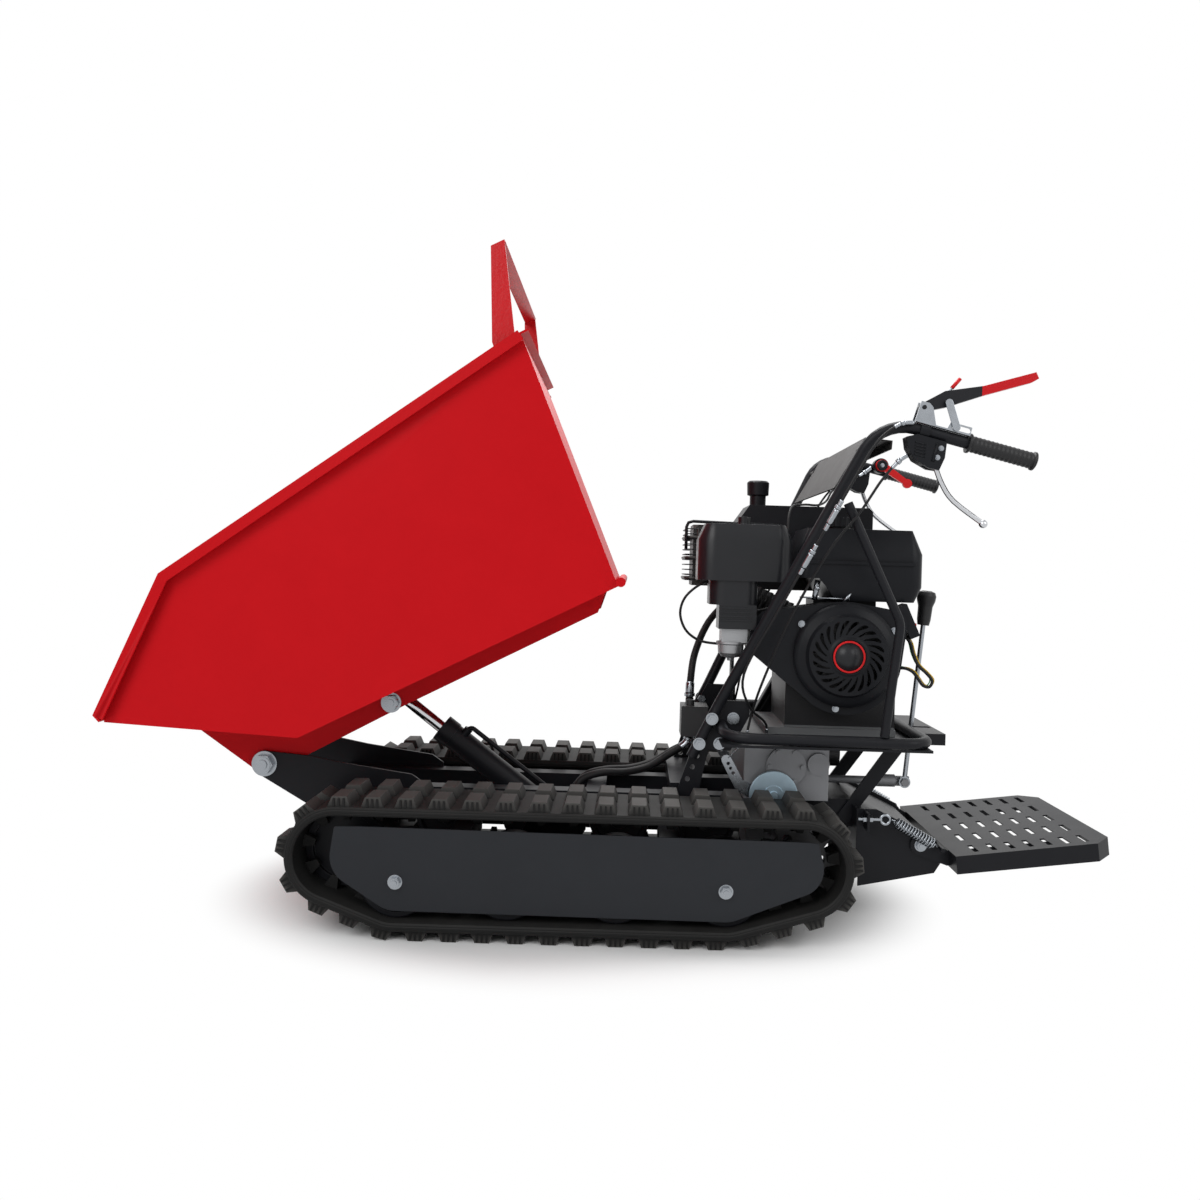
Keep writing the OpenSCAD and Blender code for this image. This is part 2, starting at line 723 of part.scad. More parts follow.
// Hoses from the cylinder to the valve, from the valve to the tank and from the pump to the valve
hose_r = 8;
hose_routes = [
  [
    place_on_cylinder([pipe_to + 2.5, -pipe_y, pipe_z]), place_on_cylinder([pipe_to + 16, -pipe_y, pipe_z]),
    [-99, -11, 208], [-84, -9, 236], [-42, 3, 249], [10, 24, 248], [60, 44, 258], [104, 56, 284],
    [138, 60, 306], [146, 60, 325]
  ],
  [
    place_on_cylinder([port_at, pipe_y, port_top + 1.2]), place_on_cylinder([port_at, pipe_y, port_top + 16]),
    [-92, 16, 224], [-72, 20, 242], [-30, 36, 250], [20, 58, 250], [70, 80, 262], [112, 92, 286],
    [150, 94, 306], [160, 94, 325]
  ],
  [[146, 94, 403], [147, 97, 440], [158, 140, 500], [190, 174, 570], [240, 181, 626], [262, 180, oil_low]],
  [[446, 75, rail_top + 93], [445, 75, 338], [425, 75, 345], [330, 75, 345], [250, 75, 345], [platform_front, 75, 345]]
];
module hydraulic_hoses() {
  color([0.08, 0.08, 0.09])
    for (route = hose_routes) tube_along(smooth(route, 4), hose_r, 10);
}

module gearbox() {
  color([0.45, 0.46, 0.47]) {
    difference() {
      union() {
        block([gearbox_front, gearbox_near, rail_top], [gearbox_rear, gearbox_far, gearbox_top]);
        block([gearbox_front + 15, -rail_in + 6, 108], [gearbox_rear - 5, rail_in - 6, rail_top + 1]);
        both_sides() y_rod([sprocket_x, end_axle_z], 25, rail_in - 7, track_y - 50);
        y_rod(input_shaft, 40, gearbox_near - 8, gearbox_near + 1);
        y_rod([395, rail_top + 74], 22, gearbox_near - 7, gearbox_near + 1);
        y_rod(disc_at, 20, disc_near + 6, gearbox_near + 1);
        for (k = [0:5])
          y_rod(input_shaft + 33 * [cos(60 * k), sin(60 * k)], 5, gearbox_near - 13, gearbox_near - 7);
      }
      both_sides() y_rod([sprocket_x, end_axle_z], half_shaft_r + run_gap, rail_in - 30, track_y);
      both_sides() y_rod(arm_pivot, 9 + run_gap, gearbox_far - 30, gearbox_far + 1);
      y_rod(input_shaft, 10 + run_gap, gearbox_far - 40, gearbox_far + 1);
    }
    y_rod(disc_at, disc_r, disc_near, disc_near + 6);
    translate([gearbox_rear, lever_y + 11, lever_pivot.y]) rotate([0, 90, 0])
      cylinder(r = 8, h = lever_pivot.x - 14 - gearbox_rear);
    translate([lever_pivot.x - 60, lever_y + 11, lever_pivot.y]) rotate([0, 90, 0]) cylinder(r = 13, h = 42);
    block(
      [lever_pivot.x - 30, lever_y + 5.5, lever_pivot.y - 10], [lever_pivot.x + 12, lever_y + 13, lever_pivot.y + 10]
    );
    y_rod(lever_pivot, 5, lever_y - 8, lever_y + 6);
    hex_head(lever_pivot, 9, lever_y - 11, lever_y - 5.5);
  }
}
disc_at = [304, rail_top + 13];
disc_r = 48;
disc_near = -152;
arm_pivot = [262, rail_top + 16];

module steering_arm(near) {
  tip = arm_pivot + [-52, 62];
  color([0.5, 0.51, 0.52])
    on_side(near) {
      along_y(gearbox_far + free_gap, gearbox_far + free_gap + plate_t) difference() {
        union() {
          hull() {
            at(arm_pivot, 13);
            at(arm_pivot + [-26, 14], 11);
          }
          hull() {
            at(arm_pivot + [-26, 14], 11);
            at(tip, 10);
          }
        }
        for (f = [0.45, 0.65, 0.85]) at(arm_pivot + [-26, 14] + f * [-26, 48], 3.5);
      }
      y_rod(arm_pivot, 9, gearbox_far - 28, gearbox_far + 2);
    }
}

module v_pulley(r, bore) {
  w = pulley_out - pulley_in;
  rotate_extrude()
    polygon([
      [bore, 0], [r, 0], [r, 2], [r - 11, w / 2 - 3], [r - 11, w / 2 + 3], [r, w - 2], [r, w], [bore, w]
    ]);
}
module gearbox_pulley() {
  color([0.35, 0.35, 0.36])
    translate([input_shaft.x, 0, input_shaft.y]) rotate([-90, 0, 0]) {
      translate([0, 0, pulley_in]) v_pulley(gearbox_pulley_r, 9);
      translate([0, 0, gearbox_far - 38]) cylinder(r = 10, h = pulley_out - gearbox_far + 38);
    }
}
belt_half = 4.6;
module drive_belt() {
  mid = (pulley_in + pulley_out) / 2;
  color([0.06, 0.06, 0.06])
    along_y(mid - belt_half, mid + belt_half) difference() {
      hull() {
        at(input_shaft, gearbox_pulley_r - 1);
        at(crank, engine_pulley_r - 1);
      }
      hull() {
        at(input_shaft, gearbox_pulley_r - 6);
        at(crank, engine_pulley_r - 6);
      }
    }
}
module belt_cover() {
  color([0.13, 0.13, 0.14])
    difference() {
      along_y(gearbox_far, pulley_out + 4) belt_cover_outline(8);
      along_y(gearbox_far - 1, pulley_out + 1) belt_cover_outline(4);
    }
}
module belt_cover_outline(margin) {
  hull() {
    at(input_shaft, gearbox_pulley_r + margin);
    at(crank, engine_pulley_r + margin + 8);
  }
}

// Gear pump on the gearbox and control valve on the platform's front edge
valve_low = [126, 40, 325];
valve_high = [platform_front - plate_t, 112, 391];
module hydraulic_pump() {
  color([0.3, 0.31, 0.32]) {
    block([gearbox_rear, 40, rail_top + 33], [gearbox_rear + 14, 110, rail_top + 93]);
    translate([gearbox_rear + 14, 75, rail_top + 63]) rotate([0, 90, 0]) cylinder(r = 30, h = 44);
    block(valve_low, valve_high);
    for (y = [60, 94]) translate([valve_low.x + 20, y, valve_high.z]) cylinder(r = 9, h = 12);
    block([valve_high.x, 34, valve_low.z - 5], [platform_front, 118, platform_z - platform_t]);
  }
}

module gear_lever() {
  color([0.8, 0.81, 0.82])
    translate([lever_pivot.x, lever_y, lever_pivot.y]) rotate([0, lever_lean, 0]) {
      difference() {
        union() {
          y_rod([0, 0], 12, -5.2, 5.2);
          translate([0, 0, 8]) cylinder(r = 5, h = lever_len - 8);
        }
        y_rod([0, 0], 5 + run_gap, -6, 6);
      }
    }
}
module gear_knob() {
  color([0.06, 0.06, 0.06])
    translate([lever_pivot.x, lever_y, lever_pivot.y]) rotate([0, lever_lean, 0])
      translate([0, 0, lever_len - 12])
        rotate_extrude()
          polygon([
            [0, 12], [5, 12], [5, 0], [12, 0], [14, 12], [15, 40], [19, 52], [20, 62], [17, 70], [9, 73], [0, 73]
          ]);
}

module rear_plate_outline() {
  difference() {
    polygon([
      [rail_rear_x + 6, rail_top - 8], [rail_rear_x + 40, rail_top - 8], [629, 168], [640, 140],
      [640, 122], [627, 101], [rail_rear_x + 6, 71]
    ]);
    at(step_pivot, bolt_r + run_gap);
  }
}
module rear_frame() {
  color([0.17, 0.17, 0.18]) {
    both_sides() {
      along_y(rear_plate_in, rear_plate_out) rear_plate_outline();
      along_y(rail_out, rail_out + plate_t)
        polygon([
          [rail_rear_x - 40, rail_z + 9], [rail_rear_x - 8, rail_z + 9],
          [platform_rear - 5, platform_z - platform_t], [platform_rear - 42, platform_z - platform_t]
        ]);
      difference() {
        block([tab_x[0], rear_plate_out, eyebolt_z - 22], [tab_x[1], spring_y + 11, eyebolt_z + 12]);
        translate([tab_x[0] - 1, spring_y, eyebolt_z]) rotate([0, 90, 0]) cylinder(r = eyebolt_r + free_gap, h = 9);
      }
    }
    block([rail_rear_x, -rear_plate_out, 90], [rail_rear_x + 6, rear_plate_out, rail_top - 8]);
    along_y(-rear_plate_in, rear_plate_in)
      polygon(bent_sheet([[rail_rear_x + 6, rail_top - 12], [rail_rear_x + 30, rail_top - 12], [618, 164]], -4));
  }
}

tread_slot_w = 10;
slot_len = 45;
slot_rows = 5;
slot_columns = 7;
module step_outline() {
  rear = step_u + step_len;
  polygon([
    [step_u, -step_half], [rear - step_chamfer, -step_half], [rear, -step_half + step_chamfer],
    [rear, step_half - step_chamfer], [rear - step_chamfer, step_half], [step_u, step_half]
  ]);
}
module step_slots() {
  row_step = 2 * step_half / slot_rows;
  column_step = step_len / (slot_columns + 1.6);
  for (i = [0:slot_columns - 1])
    for (j = [0:slot_rows - 1])
      translate([step_u + (i + 1.3) * column_step, (j - (slot_rows - 1) / 2) * row_step])
        square([tread_slot_w, slot_len], center = true);
}
module footplate() {
  color([0.2, 0.2, 0.21])
    on_step() {
      translate([0, 0, step_v - sheet_t]) linear_extrude(sheet_t) difference() {
        step_outline();
        step_slots();
      }
      translate([0, 0, step_v - step_edge]) linear_extrude(step_edge - 1) difference() {
        step_outline();
        intersection() {
          translate([sheet_t, 0]) step_outline();
          translate([-sheet_t, 0]) step_outline();
          translate([0, sheet_t]) step_outline();
          translate([0, -sheet_t]) step_outline();
        }
      }
      both_sides() {
        along_y(arm_in, arm_out) difference() {
          union() {
            at([0, 0], 20);
            polygon([
              [-5, -19.3], [step_u - 6, step_v - step_edge + 4], [step_u + 180, step_v - step_edge + 4],
              [step_u + 220, step_v - sheet_t], [step_u, step_v - sheet_t], [10, 17]
            ]);
          }
          at([0, 0], bolt_r + run_gap);
        }
        y_rod(spring_hook, 4, arm_out - 1, spring_y + 12);
      }
    }
}

// Extension spring: one wire with straight ends, coils between the eyebolt and the hook pin
spring_from = [eyebolt_x[1] + 19.5, eyebolt_z];
spring_to = place_on_step(spring_hook) + [-8, 4];
spring_axis = spring_to - spring_from;
spring_end = 16;
rings_per_coil = 8;
spring_pitch = (norm(spring_axis) - 2 * spring_end) / spring_coils;
function coil_point(k) =
  let (a = 360 * k / rings_per_coil)
  [spring_r * cos(a), spring_r * sin(a), spring_end + spring_pitch * k / rings_per_coil];
coil_rings = spring_coils * rings_per_coil;
spring_path = concat(
  [[0, 0, 0], [0, 0, 2 * spring_wire_r], [spring_r * 0.6, 0, spring_end - 5]],
  [for (k = [0:coil_rings]) coil_point(k)],
  [
    [spring_r * 0.6, 0, norm(spring_axis) - spring_end + 5],
    [0, 0, norm(spring_axis) - 2 * spring_wire_r], [0, 0, norm(spring_axis)]
  ]
);
spring_gap = min([for (k = [0:rings_per_coil]) norm(coil_point(k + rings_per_coil) - coil_point(k))]) - 2 * spring_wire_r;
echo(least_spring_gap = spring_gap);
module footplate_springs() {
  color([0.78, 0.79, 0.8])
    both_sides()
      translate([spring_from.x, spring_y, spring_from.y])
        rotate([0, 90 - atan2(spring_axis.y, spring_axis.x), 0])
          tube_along(spring_path, spring_wire_r, 6);
}

module upright_outline() {
  difference() {
    polygon([
      [beam_x + 6, rail_top - 10], [beam_x + 52, rail_top - 10], [beam_x + 74, 330], [216, 330], [252, 400],
      [252, 430], [188, 430], [138, 330]
    ]);
    for (p = concat(tube_bolts, upright_bolts)) at(p, bolt_r + run_gap);
    for (p = [[150, 318], [141, 296], [132, 272]]) at(p, 5);
  }
}
module handlebar_uprights() {
  color([0.12, 0.13, 0.16])
    both_sides() along_y(upright_in, upright_out) upright_outline();
}

cable_hole = [292, -118];
module platform_bracket() {
  along_y(upright_in - plate_t, upright_in) difference() {
    polygon([[178, 330], [208, 330], [232, 382], [232, 408], [206, 408]]);
    for (p = upright_bolts) at(p, bolt_r + run_gap);
  }
}
module engine_platform() {
  low = platform_z - platform_t;
  color([0.13, 0.13, 0.14]) {
    difference() {
      block([platform_front, -platform_half, low], [platform_rear, platform_half, platform_z]);
      block([input_shaft.x - 75, gearbox_far - 4, low - 1], [crank_x + 60, pulley_out + 10, platform_z + 1]);
      both_sides() block([platform_front - 1, upright_in, low - 1], [254, upright_out + 30, platform_z + 1]);
      translate([cable_hole.x, cable_hole.y, low - 1]) cylinder(r = 9, h = 20);
    }
    both_sides() platform_bracket();
    shift_gate();
  }
}
module shift_gate() {
  low = gate_z - gate_drop;
  difference() {
    block([gate_front, gate_near, gate_z], [gate_rear, gate_far, gate_z + sheet_t]);
    block([gate_front + gate_rim, lever_y - 8, gate_z - 1], [gate_rear - 6, lever_y + 8, gate_z + 5]);
  }
  for (y = [gate_near, gate_far - sheet_t]) {
    block([gate_front, y, low], [gate_rear, y + sheet_t, gate_z + 1]);
    block([platform_rear - 10, y, low], [gate_front + 1, y + sheet_t, platform_z]);
  }
  block([gate_rear - sheet_t, gate_near, low], [gate_rear, gate_far, gate_z + 1]);
}

module platform_tube() {
  route = [
    [197, upright_out + 1, guard_z + 9], [197, guard_y, guard_z + 2], [guard_x, guard_y, guard_z],
    [guard_x, -guard_y, guard_z], [197, -guard_y, guard_z + 2], [197, -upright_out - 1, guard_z + 9]
  ];
  color([0.1, 0.1, 0.11]) tube_along(rounded(route, 50, 6), guard_r, 14);
}

module handlebars() {
  color([0.1, 0.1, 0.11])
    both_sides() {
      difference() {
        tube_along(rounded(bar_route, 80, 7), bar_r, 16);
        for (p = tube_bolts) y_rod(p, bolt_r + run_gap, bar_y - 20, bar_y + 20);
      }
      tube_along(rounded(brace_route, 50, 5), brace_r, 14);
    }
}
brace_route = [[411, 268, 823], [519, 260, 599], [497, guard_y, guard_z + guard_r + 1.4]];

module handle_grips() {
  r = grip_r;
  color([0.06, 0.06, 0.06])
    both_sides() on_bar() translate([grip_at, 0, 0]) rotate([0, 90, 0])
      rotate_extrude()
        polygon(concat(
          [[bar_r + 0.2, 0], [r + 3, 0], [r + 3, 4]],
          [for (k = [0:grip_ribs - 1]) each [[r - 1, 8 + k * rib_step], [r, 8 + (k + 0.5) * rib_step]]],
          [[r - 1, grip_len - 8], [r + 2, grip_len - 6], [r + 2, grip_len - 2], [r - 2, grip_len],
            [0, grip_len], [0, grip_len - 4], [bar_r + 0.2, grip_len - 4]]
        ));
}
grip_at = 92;
grip_ribs = 14;
rib_step = (grip_len - 16) / grip_ribs;

panel_half = 240;
module control_panel() {
  path = [[392, 852], [447, 948], [495, 944], [494, 930]];
  color([0.32, 0.31, 0.3]) {
    along_y(-panel_half, panel_half) polygon(bent_sheet(path, sheet_t));
    both_sides() y_rod([436, 926], 6, panel_half - 8, 277.6);
  }
}

fin_count = 7;
head_near = -52;
head_far = 55;
head_tilt = 25;
module engine_block() {
  color([0.5, 0.51, 0.52])
    difference() {
      union() {
        block([crank.x - 106, block_near, platform_z + 12], [crank.x + 119, block_far, crank.y + 71]);
        block([crank.x - 145, block_near - 10, platform_z], [crank.x + 119, block_far + 5, platform_z + 14]);
        translate([crank.x, 0, crank.y]) rotate([0, head_tilt, 0]) {
          rotate([0, -90, 0]) cylinder(r = 40, h = 212);
          for (i = [0:fin_count - 1])
            block([-123 - 12 * i, head_near, -50], [-118 - 12 * i, head_far, 50]);
          block([-215, head_near + 4, -45], [-198, head_far, 45]);
        }
      }
      y_rod(crank, crank_r + run_gap, block_near - 1, block_far + 1);
    }
}
crank_r = 12.5;

fan_blades = 16;
module crankshaft() {
  color([0.4, 0.4, 0.42])
    translate([crank.x, 0, crank.y]) rotate([-90, 0, 0]) {
      translate([0, 0, -150]) cylinder(r = crank_r, h = 150 + pulley_out);
      translate([0, 0, -130]) cylinder(r = 86, h = 24);
      for (k = [0:fan_blades - 1])
        rotate([0, 0, 360 * k / fan_blades]) translate([50, -2, -152]) cube([34, 4, 23]);
      translate([0, 0, pulley_in]) v_pulley(engine_pulley_r, crank_r - 1);
    }
}

module blower_outline(inset) {
  hull() {
    at(crank + [0, 106 - blower_r], blower_r - inset);
    at(crank + [-152, 52], 32 - inset);
    at(crank + [-168, 18], 26 - inset);
    at(crank + [93, 64], 28 - inset);
  }
}
// Switch box in its own tilted frame on the blower housing's rear edge
switch_tilt = 24;
switch_pivot = [7, -18];
module on_switch_box() {
  translate([crank.x + 125, 0, crank.y + 70]) rotate([0, -switch_tilt, 0]) children();
}
module blower_housing() {
  color([0.1, 0.1, 0.11])
    difference() {
      union() {
        difference() {
          along_y(blower_near, block_near) blower_outline(0);
          along_y(blower_near + 4, block_near + 1) blower_outline(4);
          y_rod(crank, recoil_r - 12, blower_near - 1, blower_near + 6);
        }
        on_switch_box() block([-10, blower_near + 5, -34], [10, blower_near + 45, 34]);
      }
      on_switch_box() {
        block([0.5, blower_near + 14, -30], [12, blower_near + 36, -6]);
        y_rod(switch_pivot, 2.5 + run_gap, blower_near + 10, blower_near + 40);
      }
    }
}

slot_ring = 22;
slot_from = 42;
slot_to = recoil_r - 33;
slot_lean = -22;
slot_w = 9;
slot_cuts = 8;
// Curved slot: a drop that leans as it goes outwards and is widest near its outer end
module slot_outline() {
  edge = [for (k = [0:slot_cuts]) let (t = k / slot_cuts) [
    slot_from + t * (slot_to - slot_from), slot_lean * t, slot_w / 2 * (0.3 + 0.7 * sin(180 * t ^ 1.6))
  ]];
  polygon(concat(
    [for (e = edge) turn([e[0], -e[2]], e[1])],
    [for (k = [slot_cuts:-1:0]) turn([edge[k][0], edge[k][2]], edge[k][1])]
  ));
}
module recoil_cover() {
  color([0.08, 0.08, 0.09])
    difference() {
      translate([crank.x, blower_near, crank.y]) rotate([90, 0, 0])
        rotate_extrude()
          polygon([
            [recoil_r, 0], [recoil_r, 8], [recoil_r - 5, 14], [recoil_r - 21, 20], [recoil_r - 26, 30], [40, 35],
            [36, 38], [0, 38], [0, 34], [38, 31], [recoil_r - 29, 26], [recoil_r - 24, 16], [recoil_r - 9, 10],
            [recoil_r - 4, 0]
          ]);
      for (k = [0:slot_ring - 1])
        translate([crank.x, 0, crank.y]) rotate([0, 360 * k / slot_ring, 0])
          along_y(recoil_near - 8, blower_near - 8) slot_outline();
    }
}
module engine_switch() {
  color([0.75, 0.08, 0.07])
    on_switch_box() {
      along_y(blower_near + 14.5, blower_near + 35.5)
        polygon([[3, -27], [13, -26], [11.5, -18], [15, -10], [3, -9]]);
      y_rod(switch_pivot, 2.5, blower_near + 10.3, blower_near + 39.7);
    }
}

tank_near = -160;
tank_far = 44;
tank_x0 = crank.x - 95;
tank_x1 = crank.x + 154;
tank_seam = 76;
tank_h = 144;
tank_rise = 44;
module tank_half(z0, z1, inset, straight) {
  hull()
    for (x = [tank_x0 + 26, tank_x1 - 26])
      for (y = [tank_near + 26, tank_far - 26]) {
        translate([x, y, z0]) cylinder(r = 26, h = straight * (z1 - z0), $fn = 32);
        translate([x, y, z0]) cylinder(r = 26 - inset, h = z1 - z0, $fn = 32);
      }
}
module fuel_tank() {
  color([0.07, 0.07, 0.08])
    difference() {
      union() {
        translate([0, 0, tank_low + tank_seam]) tank_half(0, tank_h - tank_seam, 20, 0.3);
        translate([0, 0, tank_low + tank_seam]) mirror([0, 0, 1]) tank_half(0, tank_seam, 14, 0.6);
        block(
          [tank_x0 + 20, tank_near - 5, tank_low + tank_seam - 3], [tank_x1 - 20, tank_far + 5, tank_low + tank_seam + 3]
        );
        block([crank.x - 50, -70, crank.y + 71], [crank.x + 80, 20, tank_low + 2]);
        translate([cap_at.x, cap_at.y, tank_low + tank_h - 2]) cylinder(r = 24, h = 8);
      }
      translate([cap_at.x, cap_at.y, tank_low + tank_h - 10]) cylinder(r = 16 + run_gap, h = 20);
      along_y(tank_near - 1, tank_far + 1)
        polygon([
          [tank_x0 - 1, tank_low - 1], [tank_x0 - 1, tank_low + tank_rise], [tank_x0 + 40, tank_low + tank_rise],
          [tank_x0 + 78, tank_low - 1]
        ]);
    }
}
cap_at = [crank.x, -60];
module fuel_cap() {
  z = tank_low + tank_h + 6 + free_gap;
  color([0.07, 0.07, 0.07])
    translate([cap_at.x, cap_at.y, z]) {
      difference() {
        cylinder(r = 32, h = 20);
        for (k = [0:17]) rotate([0, 0, 20 * k]) translate([33, 0, -1]) cylinder(r = 2.6, h = 22);
      }
      translate([0, 0, -12]) cylinder(r = 16, h = 13);
    }
}

cleaner_low = crank.y + 93;
cleaner_x0 = crank.x - 297;
cleaner_x1 = crank.x - 110;
cleaner_near = -190;
cleaner_far = -66;
lid_z = 48;
elbow_x0 = crank.x - 272;
elbow_x1 = crank.x - 176;
elbow_ribs = 4;
module air_cleaner() {
  mid = (cleaner_near + cleaner_far) / 2;
  color([0.06, 0.06, 0.07]) {
    hull()
      for (x = [cleaner_x0 + 34, cleaner_x1 - 34])
        for (y = [cleaner_near + 34, cleaner_far - 34]) {
          translate([x, y, cleaner_low + lid_z]) cylinder(r = 34, h = 80, $fn = 32);
          translate([x, y, cleaner_low + lid_z]) cylinder(r = 20, h = 112, $fn = 32);
        }
    hull()
      for (x = [elbow_x0 + 30, elbow_x1 - 30])
        for (y = [cleaner_near + 36, cleaner_far - 36])
          translate([x, y, cleaner_low]) cylinder(r = 30, h = lid_z + 1, $fn = 32);
    translate([(cleaner_x0 + cleaner_x1) / 2, mid, cleaner_low + 160]) cylinder(r = 13, h = 16, $fn = 24);
    block([elbow_x0 + 18, -184, crank.y + 46], [elbow_x1 - 4, -178, cleaner_low + 1]);
    block([elbow_x0 + 18, -184, crank.y + 46], [elbow_x0 + 22, -120, cleaner_low + 1]);
    for (k = [0:elbow_ribs - 1])
      block([elbow_x0 + 20, -187, crank.y + 62 + 8 * k], [elbow_x1 - 14, -183, crank.y + 65 + 8 * k]);
  }
}

bowl_at = [crank.x - 226, -152];
module carburettor() {
  color([0.66, 0.67, 0.69]) {
    block([bowl_at.x - 20, -174, crank.y + 19], [bowl_at.x + 30, -112, cleaner_low]);
    translate([bowl_at.x, bowl_at.y, crank.y - 18])
      rotate_extrude()
        polygon([[0, 0], [6, 0], [8, 6], [18, 8], [25, 16], [26, 32], [29, 34], [29, 38], [0, 38]]);
    block([bowl_at.x - 6, -113, crank.y + 30], [bowl_at.x + 26, head_near + 4, crank.y + 62]);
  }
}

muffler_low = [crank.x - 296, 32, crank.y + 126];
muffler_high = [crank.x - 211, 158, crank.y + 258];
wire_r = 3;
exhaust_route = [
  [crank.x - 191, head_far + 0.3, crank.y + 88], [crank.x - 191, head_far + 26, crank.y + 88],
  [crank.x - 230, head_far + 30, crank.y + 104], [crank.x - 230, head_far + 30, crank.y + 140]
];
module guard_loop(z) {
  low = muffler_low - [16, 16, 0];
  high = muffler_high + [8, 12, 0];
  route = [
    [(low.x + high.x) / 2, low.y, z], [low.x, low.y, z], [low.x, high.y, z], [high.x, high.y, z],
    [high.x, low.y, z], [(low.x + high.x) / 2 + 1, low.y, z]
  ];
  tube_along(rounded(route, 14, 3), wire_r, 8);
}
module muffler() {
  color([0.3, 0.3, 0.31]) {
    hull() {
      block(muffler_low + [12, 0, 0], muffler_high - [12, 0, 0]);
      block(muffler_low + [0, 12, 0], muffler_high - [0, 12, 0]);
      block(muffler_low + [0, 0, 12], muffler_high - [0, 0, 12]);
    }
    tube_along(rounded(exhaust_route, 16, 4), 12, 12);
    for (z = [muffler_low.z + 16, muffler_low.z + 60, muffler_low.z + 104]) guard_loop(z);
    for (x = [muffler_low.x + 10, muffler_high.x - 22])
      for (y = [muffler_low.y - 16, muffler_high.y + 12])
        translate([x, y, muffler_low.z + 10]) cylinder(r = wire_r, h = 112, $fn = 16);
    for (x = [muffler_low.x + 10, muffler_high.x - 22])
      y_rod([x, muffler_low.z + 60], wire_r, muffler_low.y - 16, muffler_high.y + 12);
  }
}

module oil_outline() {
  polygon([
    [oil_x, oil_low], [oil_x + oil_tank_len, oil_low], [oil_x + oil_tank_len, oil_low + oil_tank_h - 8],
    [oil_x + oil_tank_len - 8, oil_low + oil_tank_h], [oil_x + 22, oil_low + oil_tank_h],
    [oil_x, oil_low + oil_tank_h - 32]
  ]);
}
filler_at = [oil_x + 47, 130];
leg_t = 5;
leg_weld = 1;
module oil_tank() {
  top = oil_low + oil_tank_h;
  color([0.11, 0.11, 0.12]) {
    along_y(oil_near, oil_far) oil_outline();
    block([oil_x - leg_t, 96, platform_z], [oil_x + leg_weld, 134, top - 40]);
    block([oil_x + oil_tank_len - leg_weld, 120, platform_z], [oil_x + oil_tank_len + leg_t, 165, top - 40]);
    translate([filler_at.x, filler_at.y, top])
      rotate_extrude()
        polygon([[0, 0], [18, 0], [18, 24], [24, 26], [25, 54], [21, 58], [0, 58]]);
  }
}

// Cables from the levers down to the gearbox arms, the clutch and the carburettor
cable_r = 2.5;
steer_cable = [
  [513.1, 304, 913.4], [496, 303, 902], [466, 298, 866], [430, 287, 806], [378, 262, 730], [318, 226, 606],
  [276, 184, 486], [258, 153, 416], [247, 151, 366], [240, 146, 349], [234, 142, 338]
];
clutch_cable = [
  [518, -320, 970], [490, -322, 966], [452, -324, 936], [418, -316, 876], [352, -284, 744], [284, -246, 606],
  [232, -206, 490], [248, -170, 424], [286, -130, 386], [292, -118, 356], [298, -112, gearbox_top + 0.8]
];
throttle_cable = [
  [581, 282, 949], [556, 282, 930], [512, 268, 906], [476, 226, 884], [452, 170, 856], [420, 100, 841],
  [380, 50, 838], [344, -8, 826], [333, -42, 770], [333, -58, 680], [322, -60, 630], [288, -68, 612],
  [250, -84, 606], [228, -104, 604], [222, -110.5, 602]
];
module control_cables() {
  color([0.05, 0.05, 0.05]) {
    both_sides() tube_along(smooth(steer_cable, 3), cable_r, 8);
    tube_along(smooth(clutch_cable, 3), cable_r, 8);
    tube_along(smooth(throttle_cable, 3), cable_r, 8);
  }
}

// Levers in the bar's own frame: along the bar to the grip, and square to it
clutch_pivot = [-4, 40];
link_top = [37, 59.5];
link_foot = [62, 19.4];
cheek_in = 9;
cheek_t = 3;
slot_r = 4.6;
bracket_end = grip_at - 1.5;
module clutch_bracket() {
  color([0.74, 0.75, 0.76])
    on_side(true) on_bar() {
      block([-12, -cheek_in - cheek_t, bar_r + 0.2], [bracket_end, cheek_in + cheek_t, bar_r + cheek_t]);
      both_sides()
        along_y(cheek_in, cheek_in + cheek_t) difference() {
          polygon([[-14, bar_r + 1], [26, bar_r + 1], [12, 44], [4, 50], [-12, 50]]);
          at(clutch_pivot, 4 + run_gap);
        }
      along_y(cheek_in, cheek_in + cheek_t) difference() {
        polygon([[46, bar_r + 1], [bracket_end, bar_r + 1], [bracket_end, 27], [50, 27]]);
        hull() {
          at(link_foot - [3, 0], slot_r);
          at(link_foot + [22.5, 0], slot_r);
        }
      }
    }
}
module clutch_lever() {
  color([0.78, 0.1, 0.08])
    on_side(true) on_bar()
      along_y(-7, 7) difference() {
        union() {
          at(clutch_pivot, 9);
          polygon([
            clutch_pivot + [-7, 5], clutch_pivot + [8, -4], [36, 52], [98, 92], [176, 138], [186, 148], [178, 158],
            [92, 108], [26, 80]
          ]);
        }
        at(link_top, 3.5 + run_gap);
      }
  color([0.78, 0.1, 0.08])
    on_side(true) on_bar() y_rod(clutch_pivot, 4, -cheek_in - cheek_t - 2, cheek_in + cheek_t + 2);
}
module clutch_link() {
  y0 = cheek_in + cheek_t + 0.4;
  color([0.8, 0.81, 0.82])
    on_side(true) on_bar() {
      along_y(y0, y0 + 3) hull() {
        at(link_top, 7);
        at(link_foot, 7);
      }
      y_rod(link_top, 3.5, -7, y0 + 1);
      y_rod(link_foot, 3.5, cheek_in - 2, y0 + 1);
    }
}

